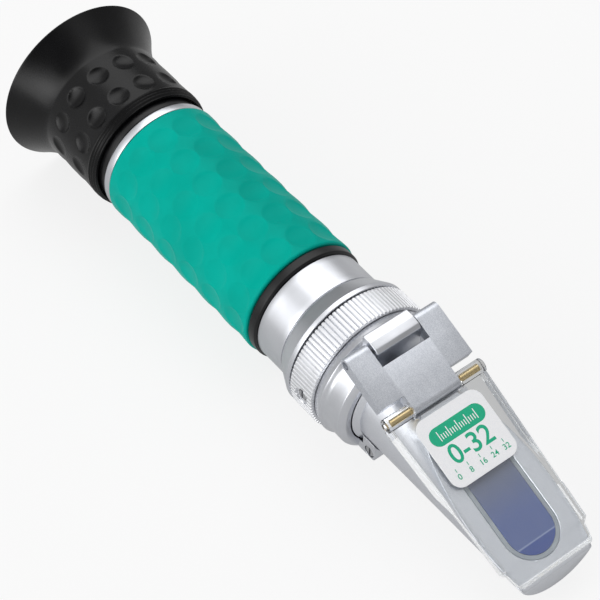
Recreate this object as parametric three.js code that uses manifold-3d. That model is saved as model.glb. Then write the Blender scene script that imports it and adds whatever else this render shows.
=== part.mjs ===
// Hand-held brix refractometer with a hinged daylight plate.
// Millimetres, +Z up. The optical axis runs along X, with the eyecup at -X and the prism tip at +X.
// Along the axis, places are worked out as stations, counted from the front end of the green grip.
// The finished instrument is moved so that the origin is the middle of its own box.
import * as THREE from 'three';
import { mergeVertices } from 'three/addons/utils/BufferGeometryUtils.js';
import Module from 'manifold-3d';

const wasm = await Module();
wasm.setup();

// Clearances and facets
const gap = 0.3;            // between neighbouring pieces
const seam = 0.15;          // between rings that butt along the axis
const pinPlay = 0.1;        // round a pin that is fixed in its hole
const turnPlay = 0.2;       // round a pin that turns in its hole
const stickerPlay = 0.05;   // under the label
const overrun = 6;          // how far a cutter reaches past what it cuts
const shellFacets = 36;
const innerFacets = 24;
const smallFacets = 12;

// Main tube, the green grip on it and the rings at its two ends; radii are built up by walls
const tubeRadius = 12.9;
const tubeWall = 1;
const tubeSetback = 2;            // its front end, behind the scribed line of the head
const tubeSeat = tubeRadius + gap;   // bore of what slips over the tube
const gripLength = 50.6;
const gripWall = 1.8;
const gripRadius = tubeSeat + gripWall;
const gripDimpleDepth = 0.4;
const gripDimpleRadius = 3;
const gripDimplePitch = 8.12;     // along the axis, from one ring of dimples to the next
const gripDimpleRings = 6;
const gripDimpleSetback = 4.1;    // from the front end to the first ring
const dimplesRound = 14;          // in each ring, on the grip and on the eyecup
const gripShoulder = 0.7;         // rounding at each end of the sleeve
const bandLength = 2.6;
const bandWall = 1.35;
const bandRadius = tubeSeat + bandWall;
const bandLip = 0.35;
const collarRingLength = 2.1;
const collarRingWall = 1.47;
const collarRingRadius = tubeSeat + collarRingWall;

// Bare aluminium head in front of the grip
const headStraightLength = 8.1;
const headGroove = 0.3;           // width and depth of the line scribed behind the cone
const headConeLength = 4.2;
const headRimLength = 1.1;
const headWall = 0.77;
const headFlare = 2.23;           // how far the cone widens
const headRadius = tubeSeat + headWall;
const headRimRadius = headRadius + headFlare;

// Knurled calibration ring and its set screw
const ringLength = 7.2;
const ringRootDrop = 0.35;        // roots of the knurl, below the rim of the head
const ringToothHeight = 0.42;
const ringTeeth = 96;
const ringWall = 1.05;
const ringPlay = 0.4;             // round its bearing on the front body
const ringRootRadius = headRimRadius - ringRootDrop;
const ringBore = ringRootRadius - ringWall;
const ringScrewRadius = 1.2;
const ringScrewPocketRadius = 2;
const ringScrewPocketDepth = 0.55;
const ringScrewForwardShare = 0.54;   // place of the screw along the ring
const ringSealSection = 0.7;
const ringSealWidth = 1.1;
const ringSealForwardShare = 0.78;

// Front body: spigot, flange, neck, hinge knuckle and screw lug
const spigotGap = 1;              // between the main tube and the spigot
const bearingRadius = ringBore - ringPlay;
const flangeLength = 1;
const flangeDrop = 0.14;          // below the rim of the head
const flangeBlend = 1.8;
const flangeRadius = headRimRadius - flangeDrop;
const neckDrop = 0.96;            // below the flange
const neckRadius = flangeRadius - neckDrop;
const neckWall = 2.6;
const neckLength = 4.6;
const neckEdge = 1.2;
const stopWall = 2.5;             // wall with the light hole, behind the prism box
const stopHoleRadius = 8.5;
const knuckleLength = 5;
const knuckleWidth = 11.6;
const knuckleHeight = 2.5;        // above the hinge pin
const knuckleRounding = 0.9;
const lugLength = 5.4;
const lugInset = 0.55;            // its outer face, within the side of the prism box
const lugUnderInset = 1.35;       // its underside, above the underside of the prism box
const lugHeight = 5.2;
const lugRounding = 0.5;
const lugScrewRadius = 1.3;
const lugScrewRise = 1.65;        // above the underside of the lug
const lugScrewSetback = 1.8;      // behind the front face of the lug
const slotWidth = 0.45;
const slotDepthShare = 0.42;      // of the length of the screw

// Prism box, a round box with a sloping top
const boxBaseRadius = neckRadius - neckWall - gap;
const boxBaseStep = 1.25;
const boxRadius = boxBaseRadius - boxBaseStep;
const boxBaseLength = 4.4;
const boxBaseChamfer = 1.1;
const boxLength = 49.8;           // from the end of the chamfer to the tip
const boxTipEdge = 0.2;
const tipFaceHeight = 5.4;        // flat end face, below the sloping top
const rampTipDrop = boxRadius - tipFaceHeight;
const tunnelWall = 4.55;          // round the light way from the prism into the body
const tunnelRadius = boxRadius - tunnelWall;

// Prism, its seal and the window, in the plane of the sloping top
const prismSideWall = 5.38;
const prismHalfWidth = boxRadius - prismSideWall;
const prismTipInset = 4.45;       // from the tip of the ramp to the end of the glass
const prismPinInset = 4.35;       // from the plate pin to the other end of the glass
const prismFloorWall = 3.45;      // below the glass
const sealWidth = 0.7;
const sealDepth = 1.5;
const sealGap = 0.16;

// Hinge link between the body and the daylight plate
const linkInset = 0.05;           // its sides, within the base of the prism box
const linkWidth = 2 * (boxBaseRadius - linkInset);
const linkThickness = 3.2;
const linkPinSpacing = 14.9;
const knucklePlay = 0.45;         // each side of the knuckle in the notch
const linkNotchWidth = knuckleWidth + 2 * knucklePlay;
const linkNotchDepth = 6.1;
const linkTongueWidth = 12.2;
const linkShoulderSetback = 3.15; // shoulders, behind the plate pin
const linkPinRise = 0.67;         // pins, above the plane of the ramp
const hingePinSetback = 2.475;    // link pin, behind the front of the body
const hingePinHeight = 16.8;      // link pin, above the axis
const linkCorner = 0.45;
const linkPinRadius = 0.85;
const linkPinRecess = 0.5;
const platePinRadius = 0.75;
const platePinRecess = 1;

// Daylight plate, in the plane of the ramp
const plateThickness = 1;
const plateFilmGap = 0.25;        // room for the drop of liquid
const plateProud = 0.7;           // each side, past the link
const plateTaper = 1.2;           // each side, from the hinge to the finger lugs
const plateLugTaper = 0.25;
const plateWaistStep = 1;
const plateTipTaper = 0.85;
const plateHingeHalf = linkWidth / 2 + plateProud;
const plateMiddleHalf = plateHingeHalf - plateTaper;
const plateLugHalf = plateMiddleHalf - plateLugTaper;
const plateWaistHalf = plateLugHalf - plateWaistStep;
const plateTipHalf = plateWaistHalf - plateTipTaper;
const plateMiddleSetback = 14;
const plateLugSetback = 5.4;
const plateWaistSetback = 4.6;
const plateTipSetback = 0.55;
const plateBeadHeight = 0.5;
const plateBeadWidth = 1.1;
const plateSkirtDepth = 2;
const plateSkirtWall = 0.6;
const plateSkirtSetback = 21;

// Label on the daylight plate
const labelLength = 16.2;
const labelWidth = 17.1;
const labelCorner = 2.6;
const labelThickness = 0.2;
const labelPinInset = 2.9;        // from the plate pin to the rear edge of the label

// Eyecup
const cupDepth = 9.9;
const cupCollarRise = 0.55;       // above the grip
const cupCollarRadius = gripRadius + cupCollarRise;
const cupFlare = 5.05;            // how far the cup widens from the collar to the rim
const cupRimRadius = cupCollarRadius + cupFlare;
const cupRimEdge = 0.45;
const cupRimFlat = 0.8;
const cupWall = 1.3;
const cupFlarePower = 1.4;
const cupCollarLength = 16.2;
const cupSkirtLength = 2.6;
const cupSkirtRise = 0.1;         // above the collar
const cupSkirtRadius = cupCollarRadius + cupSkirtRise;
const cupSkirtEdge = 0.6;
const cupSkirtRidges = 3;
const cupGroove = 0.35;
const cupBoreWall = 2;
const cupSkirtWall = 0.9;
const cupLip = 1;
const cupLipWidth = 4.75;
const cupMouthRadius = cupCollarRadius - cupLipWidth;
const cupDimpleRadius = 2.4;
const cupDimpleDepth = 0.55;
const cupDimpleRowShares = [0.29, 0.78];   // of the collar, from the neck
const cupFacets = 3 * dimplesRound;

// Focusing parts inside the eyecup
const focusTravel = 1.5;          // each way, along the axis
const blackRingShown = 2;
const bushFlangeLength = 3.5;
const bushFlangeDrop = 0.8;       // below the grip
const bushFlangeRadius = gripRadius - bushFlangeDrop;
const bushEndPlay = 1.5;          // left behind the bush when the lens cell is fully in
const bushWall = 1.1;
const bushTail = 5;               // part that goes into the main tube
const focusRingLip = 1.6;
const focusRingWall = 1.25;
const focusRingRadius = cupCollarRadius - cupBoreWall - gap;
const bushRadius = focusRingRadius - focusRingWall - gap;
const bushBore = bushRadius - bushWall;
const cellRadius = bushBore - gap;
const cellWall = 1.4;
const cellLength = 13.5;
const cellFlangePlay = 0.4;       // round its flange, in the focusing ring
const cellFlangeRadius = bushRadius + gap - cellFlangePlay;
const cellFlangeLength = 2;
const cellBore = cellRadius - cellWall;
const cellLipWidth = 1.1;
const cellLip = 0.8;
const lensRadius = cellBore - gap;
const retainerLength = 1;
const retainerWidth = 1.6;
const eyeLensThickness = 3.3;
const fieldLensThickness = 3.8;
const lensEdgeShare = 0.45;       // edge thickness of a lens, of its thickness at the middle
const spacerWall = 0.9;
const guidePinRadius = 0.7;
const guidePinForwardShare = 0.64;   // place of the guide pin along the lens cell

// Scale disc, baffle and objective inside the tube
const discSetback = 35;
const discThickness = 1.5;
const discRingLength = 2;
const discRingWall = 2.2;
const discShoulder = 1;
const baffleSetback = 12;
const baffleThickness = 1.2;
const baffleHoleRadius = 6;
const carriageLength = 3.4;
const carriageWall = 1.8;
const carriageLift = 0.3;         // each way, in calibration
const objectiveCellLength = 9;
const objectiveCellWall = 1.5;
const objectiveThickness = 3.4;
const adjusterRadius = 0.8;
const stripLength = 12;
const stripWidth = 5;
const stripThickness = 0.5;
const stripScrewRadius = 0.7;
const stripScrewHeadRadius = 1.3;
const stripScrewHeadHeight = 0.7;

// Stations along the axis
const headRear = bandLength + 2 * seam;
const headGrooveStation = headRear + headStraightLength;
const headRimStation = headGrooveStation + headGroove + headConeLength;
const headFront = headRimStation + headRimLength;
const ringRear = headFront + gap;
const ringFront = ringRear + ringLength;
const flangeRear = ringFront + seam;
const neckRear = flangeRear + flangeLength + flangeBlend;
const bodyFront = neckRear + neckLength + neckEdge;
const boxRear = bodyFront - boxBaseLength + seam;
const boxShoulder = boxRear + boxBaseLength + boxBaseChamfer;
const tipStation = boxShoulder + boxLength;
const collarRingRear = -gripLength - seam - collarRingLength;
const tubeRear = collarRingRear;
const tubeFront = headGrooveStation - tubeSetback;
const bushFlangeFront = collarRingRear - seam;
const bushFlangeRear = bushFlangeFront - bushFlangeLength;
const skirtFront = bushFlangeFront - blackRingShown;
const collarFront = skirtFront - cupSkirtLength;
const cupNeck = collarFront - cupCollarLength;
const rimStation = cupNeck - cupDepth;
const focusRingFront = bushFlangeRear - focusTravel - gap;
const focusRingRear = cupNeck + cupLip;
const cellRear = focusRingRear + focusRingLip + gap;
const cellFront = cellRear + cellLength;
const bushRear = cellRear + cellFlangeLength + focusTravel + bushEndPlay;
const middleStation = (rimStation + tipStation) / 2;

// The ramp runs from the tip face up to the hinge: the link pin lies a little above its plane
const hingePinStation = bodyFront - hingePinSetback;
const hingeReach = Math.hypot(tipStation - hingePinStation, hingePinHeight + rampTipDrop);
const hingeSlope = Math.atan2(hingePinHeight + rampTipDrop, tipStation - hingePinStation);
const rampAngle = hingeSlope - Math.asin(linkPinRise / hingeReach);
const linkPinSetback = Math.sqrt(hingeReach ** 2 - linkPinRise ** 2);   // along the ramp, from its tip
const platePinSetback = linkPinSetback - linkPinSpacing;

// Solids and booleans
function solidOf(geometry) {
  const bare = geometry.clone();
  bare.deleteAttribute('normal');
  bare.deleteAttribute('uv');
  const merged = mergeVertices(bare);
  const corners = merged.index.array;
  const kept = [];
  for (let i = 0; i < corners.length; i += 3) {
    const [a, b, c] = [corners[i], corners[i + 1], corners[i + 2]];
    if (a !== b && b !== c && c !== a) kept.push(a, b, c);
  }
  return new wasm.Manifold(new wasm.Mesh({
    numProp: 3,
    vertProperties: new Float32Array(merged.attributes.position.array),
    triVerts: new Uint32Array(kept),
  }));
}

function geometryOf(solid) {
  const { numProp, vertProperties, triVerts } = solid.getMesh();
  const places = new Float32Array(triVerts.length * 3);
  triVerts.forEach((vertex, i) => {
    for (let k = 0; k < 3; k++) places[3 * i + k] = vertProperties[vertex * numProp + k];
  });
  const geometry = new THREE.BufferGeometry();
  geometry.setAttribute('position', new THREE.BufferAttribute(places, 3));
  geometry.computeVertexNormals();
  return geometry;
}

const joined = (first, ...others) =>
  geometryOf(others.reduce((sum, next) => sum.add(solidOf(next)), solidOf(first)));
const cut = (first, ...cutters) =>
  geometryOf(cutters.reduce((rest, next) => rest.subtract(solidOf(next)), solidOf(first)));
const common = (first, second) => geometryOf(solidOf(first).intersect(solidOf(second)));

// A solid of revolution round the X axis; each profile point is [station, radius]
function turned(profile, facets = shellFacets) {
  const closed = profile[0][1] === 0 ? profile : [...profile, profile[0]];
  let area = 0;
  for (let i = 0; i + 1 < closed.length; i++)
    area += closed[i][1] * closed[i + 1][0] - closed[i + 1][1] * closed[i][0];
  const points = closed.map(([station, radius]) => new THREE.Vector2(radius, station));
  if (area < 0) points.reverse();
  const halfFacet = Math.PI / facets;
  return new THREE.LatheGeometry(points, facets, halfFacet).rotateZ(-Math.PI / 2);
}

const pipe = (from, to, outer, inner, facets = innerFacets) =>
  turned([[from, outer], [to, outer], [to, inner], [from, inner]], facets);
const rod = (from, to, radius, facets = smallFacets) =>
  turned([[from, 0], [from, radius], [to, radius], [to, 0]], facets);

// A rod along Y between two places, at a given X and Z
const crossRod = (from, to, radius, x, z, facets = smallFacets) =>
  rod(from, to, radius, facets).rotateZ(Math.PI / 2).translate(x, 0, z);

// A rod along Z between two heights, at a given X
const uprightRod = (from, to, radius, x, facets = smallFacets) =>
  rod(from, to, radius, facets).rotateY(-Math.PI / 2).translate(x, 0, 0);

// A block between two corners
function block([x0, y0, z0], [x1, y1, z1]) {
  return new THREE.BoxGeometry(x1 - x0, y1 - y0, z1 - z0)
    .translate((x0 + x1) / 2, (y0 + y1) / 2, (z0 + z1) / 2);
}

// A flat outline in X and Y, given a thickness from one height to another
function slab(shape, from, to, curveSteps = 6) {
  const settings = { depth: to - from, bevelEnabled: false, curveSegments: curveSteps };
  return new THREE.ExtrudeGeometry(shape, settings).translate(0, 0, from);
}

// An outline in X and Z, given a width across Y
function sideSlab(shape, width, curveSteps = 6) {
  const settings = { depth: width, bevelEnabled: false, curveSegments: curveSteps };
  return new THREE.ExtrudeGeometry(shape, settings).translate(0, 0, -width / 2).rotateX(Math.PI / 2);
}

const outline = (points) => new THREE.Shape(points.map(([x, y]) => new THREE.Vector2(x, y)));

function roundedRectangle(x0, y0, x1, y1, corner) {
  const shape = new THREE.Shape();
  shape.moveTo(x0 + corner, y0);
  shape.lineTo(x1 - corner, y0);
  shape.absarc(x1 - corner, y0 + corner, corner, -Math.PI / 2, 0, false);
  shape.lineTo(x1, y1 - corner);
  shape.absarc(x1 - corner, y1 - corner, corner, 0, Math.PI / 2, false);
  shape.lineTo(x0 + corner, y1);
  shape.absarc(x0 + corner, y1 - corner, corner, Math.PI / 2, Math.PI, false);
  shape.lineTo(x0, y0 + corner);
  shape.absarc(x0 + corner, y0 + corner, corner, Math.PI, 1.5 * Math.PI, false);
  return shape;
}

// A stadium along X: two half circles joined by straight sides
function stadium(from, to, radius) {
  const shape = new THREE.Shape();
  shape.moveTo(from + radius, -radius);
  shape.lineTo(to - radius, -radius);
  shape.absarc(to - radius, 0, radius, -Math.PI / 2, Math.PI / 2, false);
  shape.lineTo(from + radius, radius);
  shape.absarc(from + radius, 0, radius, Math.PI / 2, 1.5 * Math.PI, false);
  return shape;
}

// A skin wrapped round the X axis: each ring is [station, radius as a function of the angle from +Z]
function wrapped(rings, facets) {
  const places = [];
  const corners = [];
  for (const [station, radiusAt] of rings)
    for (let k = 0; k < facets; k++) {
      const angle = k / facets * 2 * Math.PI;
      const radius = radiusAt(angle);
      places.push(station, -radius * Math.sin(angle), radius * Math.cos(angle));
    }
  for (let row = 0; row < rings.length; row++)
    for (let k = 0; k < facets; k++) {
      const next = (row + 1) % rings.length;
      const [a, b] = [row * facets + k, row * facets + (k + 1) % facets];
      const [c, d] = [next * facets + k, next * facets + (k + 1) % facets];
      corners.push(a, c, b, b, c, d);
    }
  const geometry = new THREE.BufferGeometry();
  geometry.setAttribute('position', new THREE.Float32BufferAttribute(places, 3));
  geometry.setIndex(corners);
  return geometry.toNonIndexed();
}

// The frame of the sloping top: X runs down the slope to the tip, Z stands square to it
const rampMatrix = new THREE.Matrix4().makeRotationY(rampAngle)
  .setPosition(tipStation, 0, -rampTipDrop);
const onRamp = (geometry) => geometry.clone().applyMatrix4(rampMatrix);

// Scene graph
const refractometer = new THREE.Group();
refractometer.position.x = -middleStation;
const ramp = new THREE.Group();
ramp.applyMatrix4(rampMatrix);
refractometer.add(ramp);

const finish = (color, roughness, metalness = 0) =>
  new THREE.MeshStandardMaterial({ color, roughness, metalness });

function add(name, geometry, material, parent = refractometer) {
  const mesh = new THREE.Mesh(geometry, material);
  mesh.name = name;
  parent.add(mesh);
}

// Finishes
const softBlack = () => finish(0x16171a, 0.45);
const satinBlack = () => finish(0x1b1c1f, 0.4);
const bareAluminium = () => finish(0xc4c7cc, 0.35, 1);
const dullAluminium = () => finish(0xaeb2ba, 0.55, 1);
const steel = () => finish(0x8f9196, 0.35, 1);
const brass = () => finish(0xc7a860, 0.3, 1);
const blackenedMetal = () => finish(0x2a2b2d, 0.7, 0.6);
const clearGlass = () => finish(0xdfe8ee, 0.05);

// Grip sleeve: rings of shallow round dimples, in line with those of the eyecup
function gripSleeve() {
  const anglePitch = 2 * Math.PI / dimplesRound;
  const radiusAt = (station) => (angle) => {
    const ring = Math.round((-gripDimpleSetback - station) / gripDimplePitch);
    const along = station + gripDimpleSetback + ring * gripDimplePitch;
    const turn = angle / anglePitch - 0.5;
    const around = (turn - Math.round(turn)) * anglePitch * gripRadius;
    const share = (along ** 2 + around ** 2) / gripDimpleRadius ** 2;
    return gripRadius - Math.max(0, gripDimpleDepth * (1 - share));
  };
  const plain = (radius) => () => radius;
  const rings = [
    [0, plain(tubeSeat)],
    [0, plain(gripRadius - gripShoulder / 2)],
    [-gripShoulder / 2, plain(gripRadius)],
  ];
  for (let step = 0; step <= 2 * (gripDimpleRings - 1); step++) {
    const station = -gripDimpleSetback - step * gripDimplePitch / 2;
    rings.push([station, radiusAt(station)]);
  }
  rings.push([-gripLength + gripShoulder, plain(gripRadius)]);
  rings.push([-gripLength, plain(gripRadius - gripShoulder)]);
  rings.push([-gripLength, plain(tubeSeat)]);
  return wrapped(rings, cupFacets);
}
add('grip_sleeve', gripSleeve(), finish(0x00a58f, 0.5));

// Main tube, with a shoulder for the scale disc, and the rings at the ends of the grip
const tubeBore = tubeRadius - tubeWall;
const discRear = -discSetback;
add('main_tube', turned([
  [tubeRear, tubeRadius],
  [tubeFront, tubeRadius],
  [tubeFront, tubeBore],
  [discRear - discShoulder, tubeBore],
  [discRear - discShoulder, bushBore],
  [tubeRear + bushTail + gap, bushBore],
  [tubeRear + bushTail + gap, tubeBore],
  [tubeRear, tubeBore],
], innerFacets), dullAluminium());
add('rear_collar', pipe(
  collarRingRear,
  -gripLength - seam,
  collarRingRadius,
  tubeSeat,
  shellFacets,
), dullAluminium());
add('grip_band', turned([
  [seam, bandRadius - bandLip],
  [seam + bandLip, bandRadius],
  [headRear - seam - bandLip, bandRadius],
  [headRear - seam, headRadius],
  [headRear - seam, tubeSeat],
  [seam, tubeSeat],
]), satinBlack());

// Aluminium head
add('head_tube', turned([
  [headRear, headRadius],
  [headGrooveStation, headRadius],
  [headGrooveStation, headRadius - headGroove],
  [headGrooveStation + headGroove, headRadius - headGroove],
  [headGrooveStation + headGroove, headRadius + headGroove / 2],
  [headRimStation, headRimRadius],
  [headFront, headRimRadius],
  [headFront, tubeSeat],
  [headRear, tubeSeat],
]), bareAluminium());

// Scale disc, the ring that holds it, and the light baffle
const fitRadius = tubeBore - gap;
const discRingRear = discRear + discThickness + gap;
const baffleRear = -baffleSetback;
add('reticle_disc', rod(discRear, discRear + discThickness, fitRadius, innerFacets), clearGlass());
add('reticle_ring', pipe(
  discRingRear,
  discRingRear + discRingLength,
  fitRadius,
  fitRadius - discRingWall,
), blackenedMetal());
add('light_baffle', pipe(
  baffleRear,
  baffleRear + baffleThickness,
  fitRadius,
  baffleHoleRadius,
), blackenedMetal());

// A lens between two stations: curved faces and a straight edge
function lens(from, to, radius) {
  const [middle, halfEdge] = [(from + to) / 2, (to - from) * lensEdgeShare / 2];
  const bulge = (to - from) / 2 - halfEdge;
  const steps = 2;
  const rear = [];
  const front = [];
  for (let i = 0; i <= steps; i++) {
    const share = i / steps;
    const depth = halfEdge + bulge * (1 - share ** 2);
    rear.push([middle - depth, radius * share]);
    front.unshift([middle + depth, radius * share]);
  }
  return turned([...rear, ...front], innerFacets);
}

// Objective group, carried by a frame that the calibration ring lifts and lowers
const carriageRadius = fitRadius - carriageLift;
const carriageBore = carriageRadius - carriageWall;
const carriageRear = ringRear - gap;
const carriageFront = carriageRear + carriageLength;
const carriageMiddle = (carriageRear + carriageFront) / 2;
const objectiveCellRadius = carriageBore - gap;
const objectiveRear = carriageMiddle - objectiveCellLength / 2;
const objectiveFront = carriageMiddle + objectiveCellLength / 2;
const objectiveBore = objectiveCellRadius - objectiveCellWall;
const stripTop = -objectiveCellRadius - gap;
const stripFront = carriageRear - gap;
const stripScrewStation = (objectiveRear + stripFront) / 2;
const adjusterHole = uprightRod(0, ringBore + overrun, adjusterRadius + turnPlay, carriageMiddle);
add('objective_carriage', cut(
  pipe(carriageRear, carriageFront, carriageRadius, carriageBore),
  adjusterHole,
), blackenedMetal());
add('adjuster_pin', uprightRod(
  objectiveCellRadius + gap,
  ringBore - gap - carriageLift,
  adjusterRadius,
  carriageMiddle,
), steel());
add('objective_cell', cut(
  pipe(objectiveRear, objectiveFront, objectiveCellRadius, objectiveBore),
  uprightRod(-objectiveCellRadius - overrun, 0, stripScrewRadius + pinPlay, stripScrewStation),
), blackenedMetal());
add('objective_lens', lens(
  carriageMiddle - objectiveThickness / 2,
  carriageMiddle + objectiveThickness / 2,
  objectiveBore - gap,
), clearGlass());
add('bimetal_strip', cut(
  block(
    [stripFront - stripLength, -stripWidth / 2, stripTop - stripThickness],
    [stripFront, stripWidth / 2, stripTop],
  ),
  uprightRod(stripTop - overrun, 0, stripScrewRadius + pinPlay, stripScrewStation),
), brass());
const stripUnder = stripTop - stripThickness;
const stripScrewTop = -objectiveBore - gap / 2;
add('strip_screw', joined(
  uprightRod(stripUnder - stripScrewHeadHeight, stripUnder, stripScrewHeadRadius, stripScrewStation),
  uprightRod(stripUnder - stripScrewHeadHeight / 2, stripScrewTop, stripScrewRadius, stripScrewStation),
), steel());

// Front body
const ringSealRear = ringRear + ringSealForwardShare * ringLength;
const ringSealBed = bearingRadius - ringSealSection / 2 - gap / 2;
const baseSeatRadius = boxBaseRadius + gap;
const stopRear = boxRear - gap - stopWall;
const bodyShell = turned([
  [tubeFront + spigotGap, tubeRadius],
  [headFront + gap, tubeRadius],
  [headFront + gap, bearingRadius],
  [ringSealRear, bearingRadius],
  [ringSealRear, ringSealBed],
  [ringSealRear + ringSealWidth + gap, ringSealBed],
  [ringSealRear + ringSealWidth + gap, bearingRadius],
  [flangeRear, bearingRadius],
  [flangeRear, flangeRadius],
  [flangeRear + flangeLength, flangeRadius],
  [neckRear, neckRadius],
  [neckRear + neckLength, neckRadius],
  [bodyFront, neckRadius - neckEdge],
  [bodyFront, baseSeatRadius],
  [boxRear - gap, baseSeatRadius],
  [boxRear - gap, stopHoleRadius],
  [stopRear, stopHoleRadius],
  [stopRear, tubeBore],
  [tubeFront + spigotGap, tubeBore],
]);
const knuckle = sideSlab(roundedRectangle(
  hingePinStation - knuckleLength / 2,
  baseSeatRadius + gap,
  hingePinStation + knuckleLength / 2,
  hingePinHeight + knuckleHeight,
  knuckleRounding,
), knuckleWidth, 3);
const lugFront = bodyFront + lugLength;
const lugSide = boxRadius - lugInset;
const lugDrop = boxRadius - lugUnderInset;
const lugTop = lugHeight - lugDrop;
const lugShape = roundedRectangle(bodyFront - gap, -lugDrop, lugFront, lugTop, lugRounding);
const lug = sideSlab(lugShape, lugSide, 2).translate(0, -lugSide / 2, 0);
const lugScrewStation = lugFront - lugScrewSetback;
const lugScrewHeight = lugScrewRise - lugDrop;
const lugScrewInner = Math.sqrt((boxRadius + gap) ** 2 - (lugScrewHeight + lugScrewRadius) ** 2);
const boxRoom = turned([
  [bodyFront - overrun, 0],
  [bodyFront - overrun, baseSeatRadius],
  [boxShoulder + gap, baseSeatRadius],
  [boxShoulder + gap, boxRadius + gap],
  [lugFront + overrun, boxRadius + gap],
  [lugFront + overrun, 0],
]);
const lugHole = crossRod(
  -lugSide - overrun,
  -boxRadius / 2,
  lugScrewRadius + turnPlay,
  lugScrewStation,
  lugScrewHeight,
);
add('front_body', cut(
  joined(bodyShell, cut(joined(knuckle, lug), boxRoom)),
  crossRod(-knuckleWidth, knuckleWidth, linkPinRadius + turnPlay, hingePinStation, hingePinHeight),
  lugHole,
  uprightRod(0, bearingRadius + overrun / 2, adjusterRadius + gap + carriageLift, carriageMiddle),
), bareAluminium());
add('ring_seal', pipe(
  ringSealRear + gap / 2,
  ringSealRear + gap / 2 + ringSealWidth,
  ringBore - seam,
  ringBore - seam - ringSealSection,
  shellFacets,
), softBlack());

// A set screw along -Y with a driver slot across its outer end
function slottedScrew(outer, length, radius, x, z) {
  const slotDepth = slotDepthShare * length;
  const slot = block(
    [x - slotWidth / 2, -outer - overrun, z - radius - overrun],
    [x + slotWidth / 2, -outer + slotDepth, z + radius + overrun],
  );
  return cut(crossRod(-outer, -outer + length, radius, x, z), slot);
}
add('calibration_screw', slottedScrew(
  lugSide - seam,
  lugSide - seam - lugScrewInner,
  lugScrewRadius,
  lugScrewStation,
  lugScrewHeight,
), steel());

// Knurled ring, with a pocket and a tapped hole for its set screw
function knurledRing() {
  const shape = new THREE.Shape();
  const toothPitch = 2 * Math.PI / ringTeeth;
  for (let tooth = 0; tooth < ringTeeth; tooth++)
    for (const [halfPitches, radius] of [[0, ringRootRadius], [1, ringRootRadius + ringToothHeight]]) {
      const angle = (tooth + halfPitches / 2) * toothPitch;
      const place = [radius * Math.cos(angle), radius * Math.sin(angle)];
      if (tooth + halfPitches === 0) shape.moveTo(...place);
      else shape.lineTo(...place);
    }
  const bore = new THREE.Path();
  bore.absarc(0, 0, ringBore, 0, 2 * Math.PI, true);
  shape.holes.push(bore);
  return new THREE.ExtrudeGeometry(shape, {
    depth: ringLength, bevelEnabled: false, curveSegments: shellFacets,
  }).rotateY(Math.PI / 2).translate(ringRear, 0, 0);
}
const ringScrewStation = ringRear + ringScrewForwardShare * ringLength;
const pocketFloor = ringRootRadius + ringToothHeight - ringScrewPocketDepth;
add('calibration_ring', cut(
  knurledRing(),
  crossRod(-ringRootRadius - overrun, -pocketFloor, ringScrewPocketRadius, ringScrewStation, 0),
  crossRod(-ringRootRadius - overrun, 0, ringScrewRadius + turnPlay, ringScrewStation, 0),
), bareAluminium());
add('ring_set_screw', slottedScrew(
  pocketFloor + seam,
  pocketFloor - ringBore,
  ringScrewRadius,
  ringScrewStation,
  0,
), steel());

// Prism box
const prismFront = -prismTipInset;
const prismRear = -platePinSetback + prismPinInset;
const prismFloor = prismFloorWall - boxRadius;
const prismRearTop = new THREE.Vector3(prismRear, 0, 0).applyMatrix4(rampMatrix);
const prismRearStation = prismRearTop.x - prismRearTop.z * Math.tan(rampAngle);
const rampReach = linkPinSetback + overrun;
const linkUnder = linkPinRise - linkThickness / 2;
const linkNose = -platePinSetback + linkThickness / 2;
const aboveRamp = onRamp(block(
  [-rampReach, -boxRadius - overrun, 0],
  [overrun, boxRadius + overrun, rampReach],
));
const linkRoom = onRamp(block(
  [-rampReach, -boxRadius - overrun, linkUnder - gap],
  [linkNose + gap, boxRadius + overrun, overrun],
));
const prismAsCut = (from, to, halfWidth, floor) => common(
  onRamp(slab(stadium(from, to, halfWidth), -rampReach, 0)),
  block([boxRear, -boxRadius, floor], [tipStation, boxRadius, hingePinHeight]),
);
const sealRoom = prismHalfWidth + 2 * sealGap + sealWidth;
const sealOffset = sealRoom - prismHalfWidth;
const sealSeat = stadium(prismRear - sealOffset, prismFront + sealOffset, sealRoom);
add('prism_box', cut(
  turned([
    [boxRear, 0],
    [boxRear, boxBaseRadius],
    [boxRear + boxBaseLength, boxBaseRadius],
    [boxShoulder, boxBaseRadius - boxBaseChamfer],
    [boxShoulder, boxRadius],
    [tipStation - boxTipEdge, boxRadius],
    [tipStation, boxRadius - boxTipEdge],
    [tipStation, 0],
  ]),
  aboveRamp,
  linkRoom,
  prismAsCut(prismRear - sealGap, prismFront + sealGap, prismHalfWidth + sealGap, prismFloor - gap),
  onRamp(slab(sealSeat, -sealDepth - gap, overrun)),
  rod(boxRear - overrun, prismRearStation + prismHalfWidth / 2, tunnelRadius, innerFacets),
), bareAluminium());
const prismGlass = () => finish(0x6f7ea3, 0.08);
add('main_prism', prismAsCut(prismRear, prismFront, prismHalfWidth, prismFloor), prismGlass());
const sealOuter = sealGap + sealWidth;
const sealShape = stadium(prismRear - sealOuter, prismFront + sealOuter, prismHalfWidth + sealOuter);
sealShape.holes.push(stadium(prismRear - sealGap, prismFront + sealGap, prismHalfWidth + sealGap));
add('prism_seal', slab(sealShape, -sealDepth, 0), finish(0x9aa3ab, 0.6), ramp);

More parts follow.
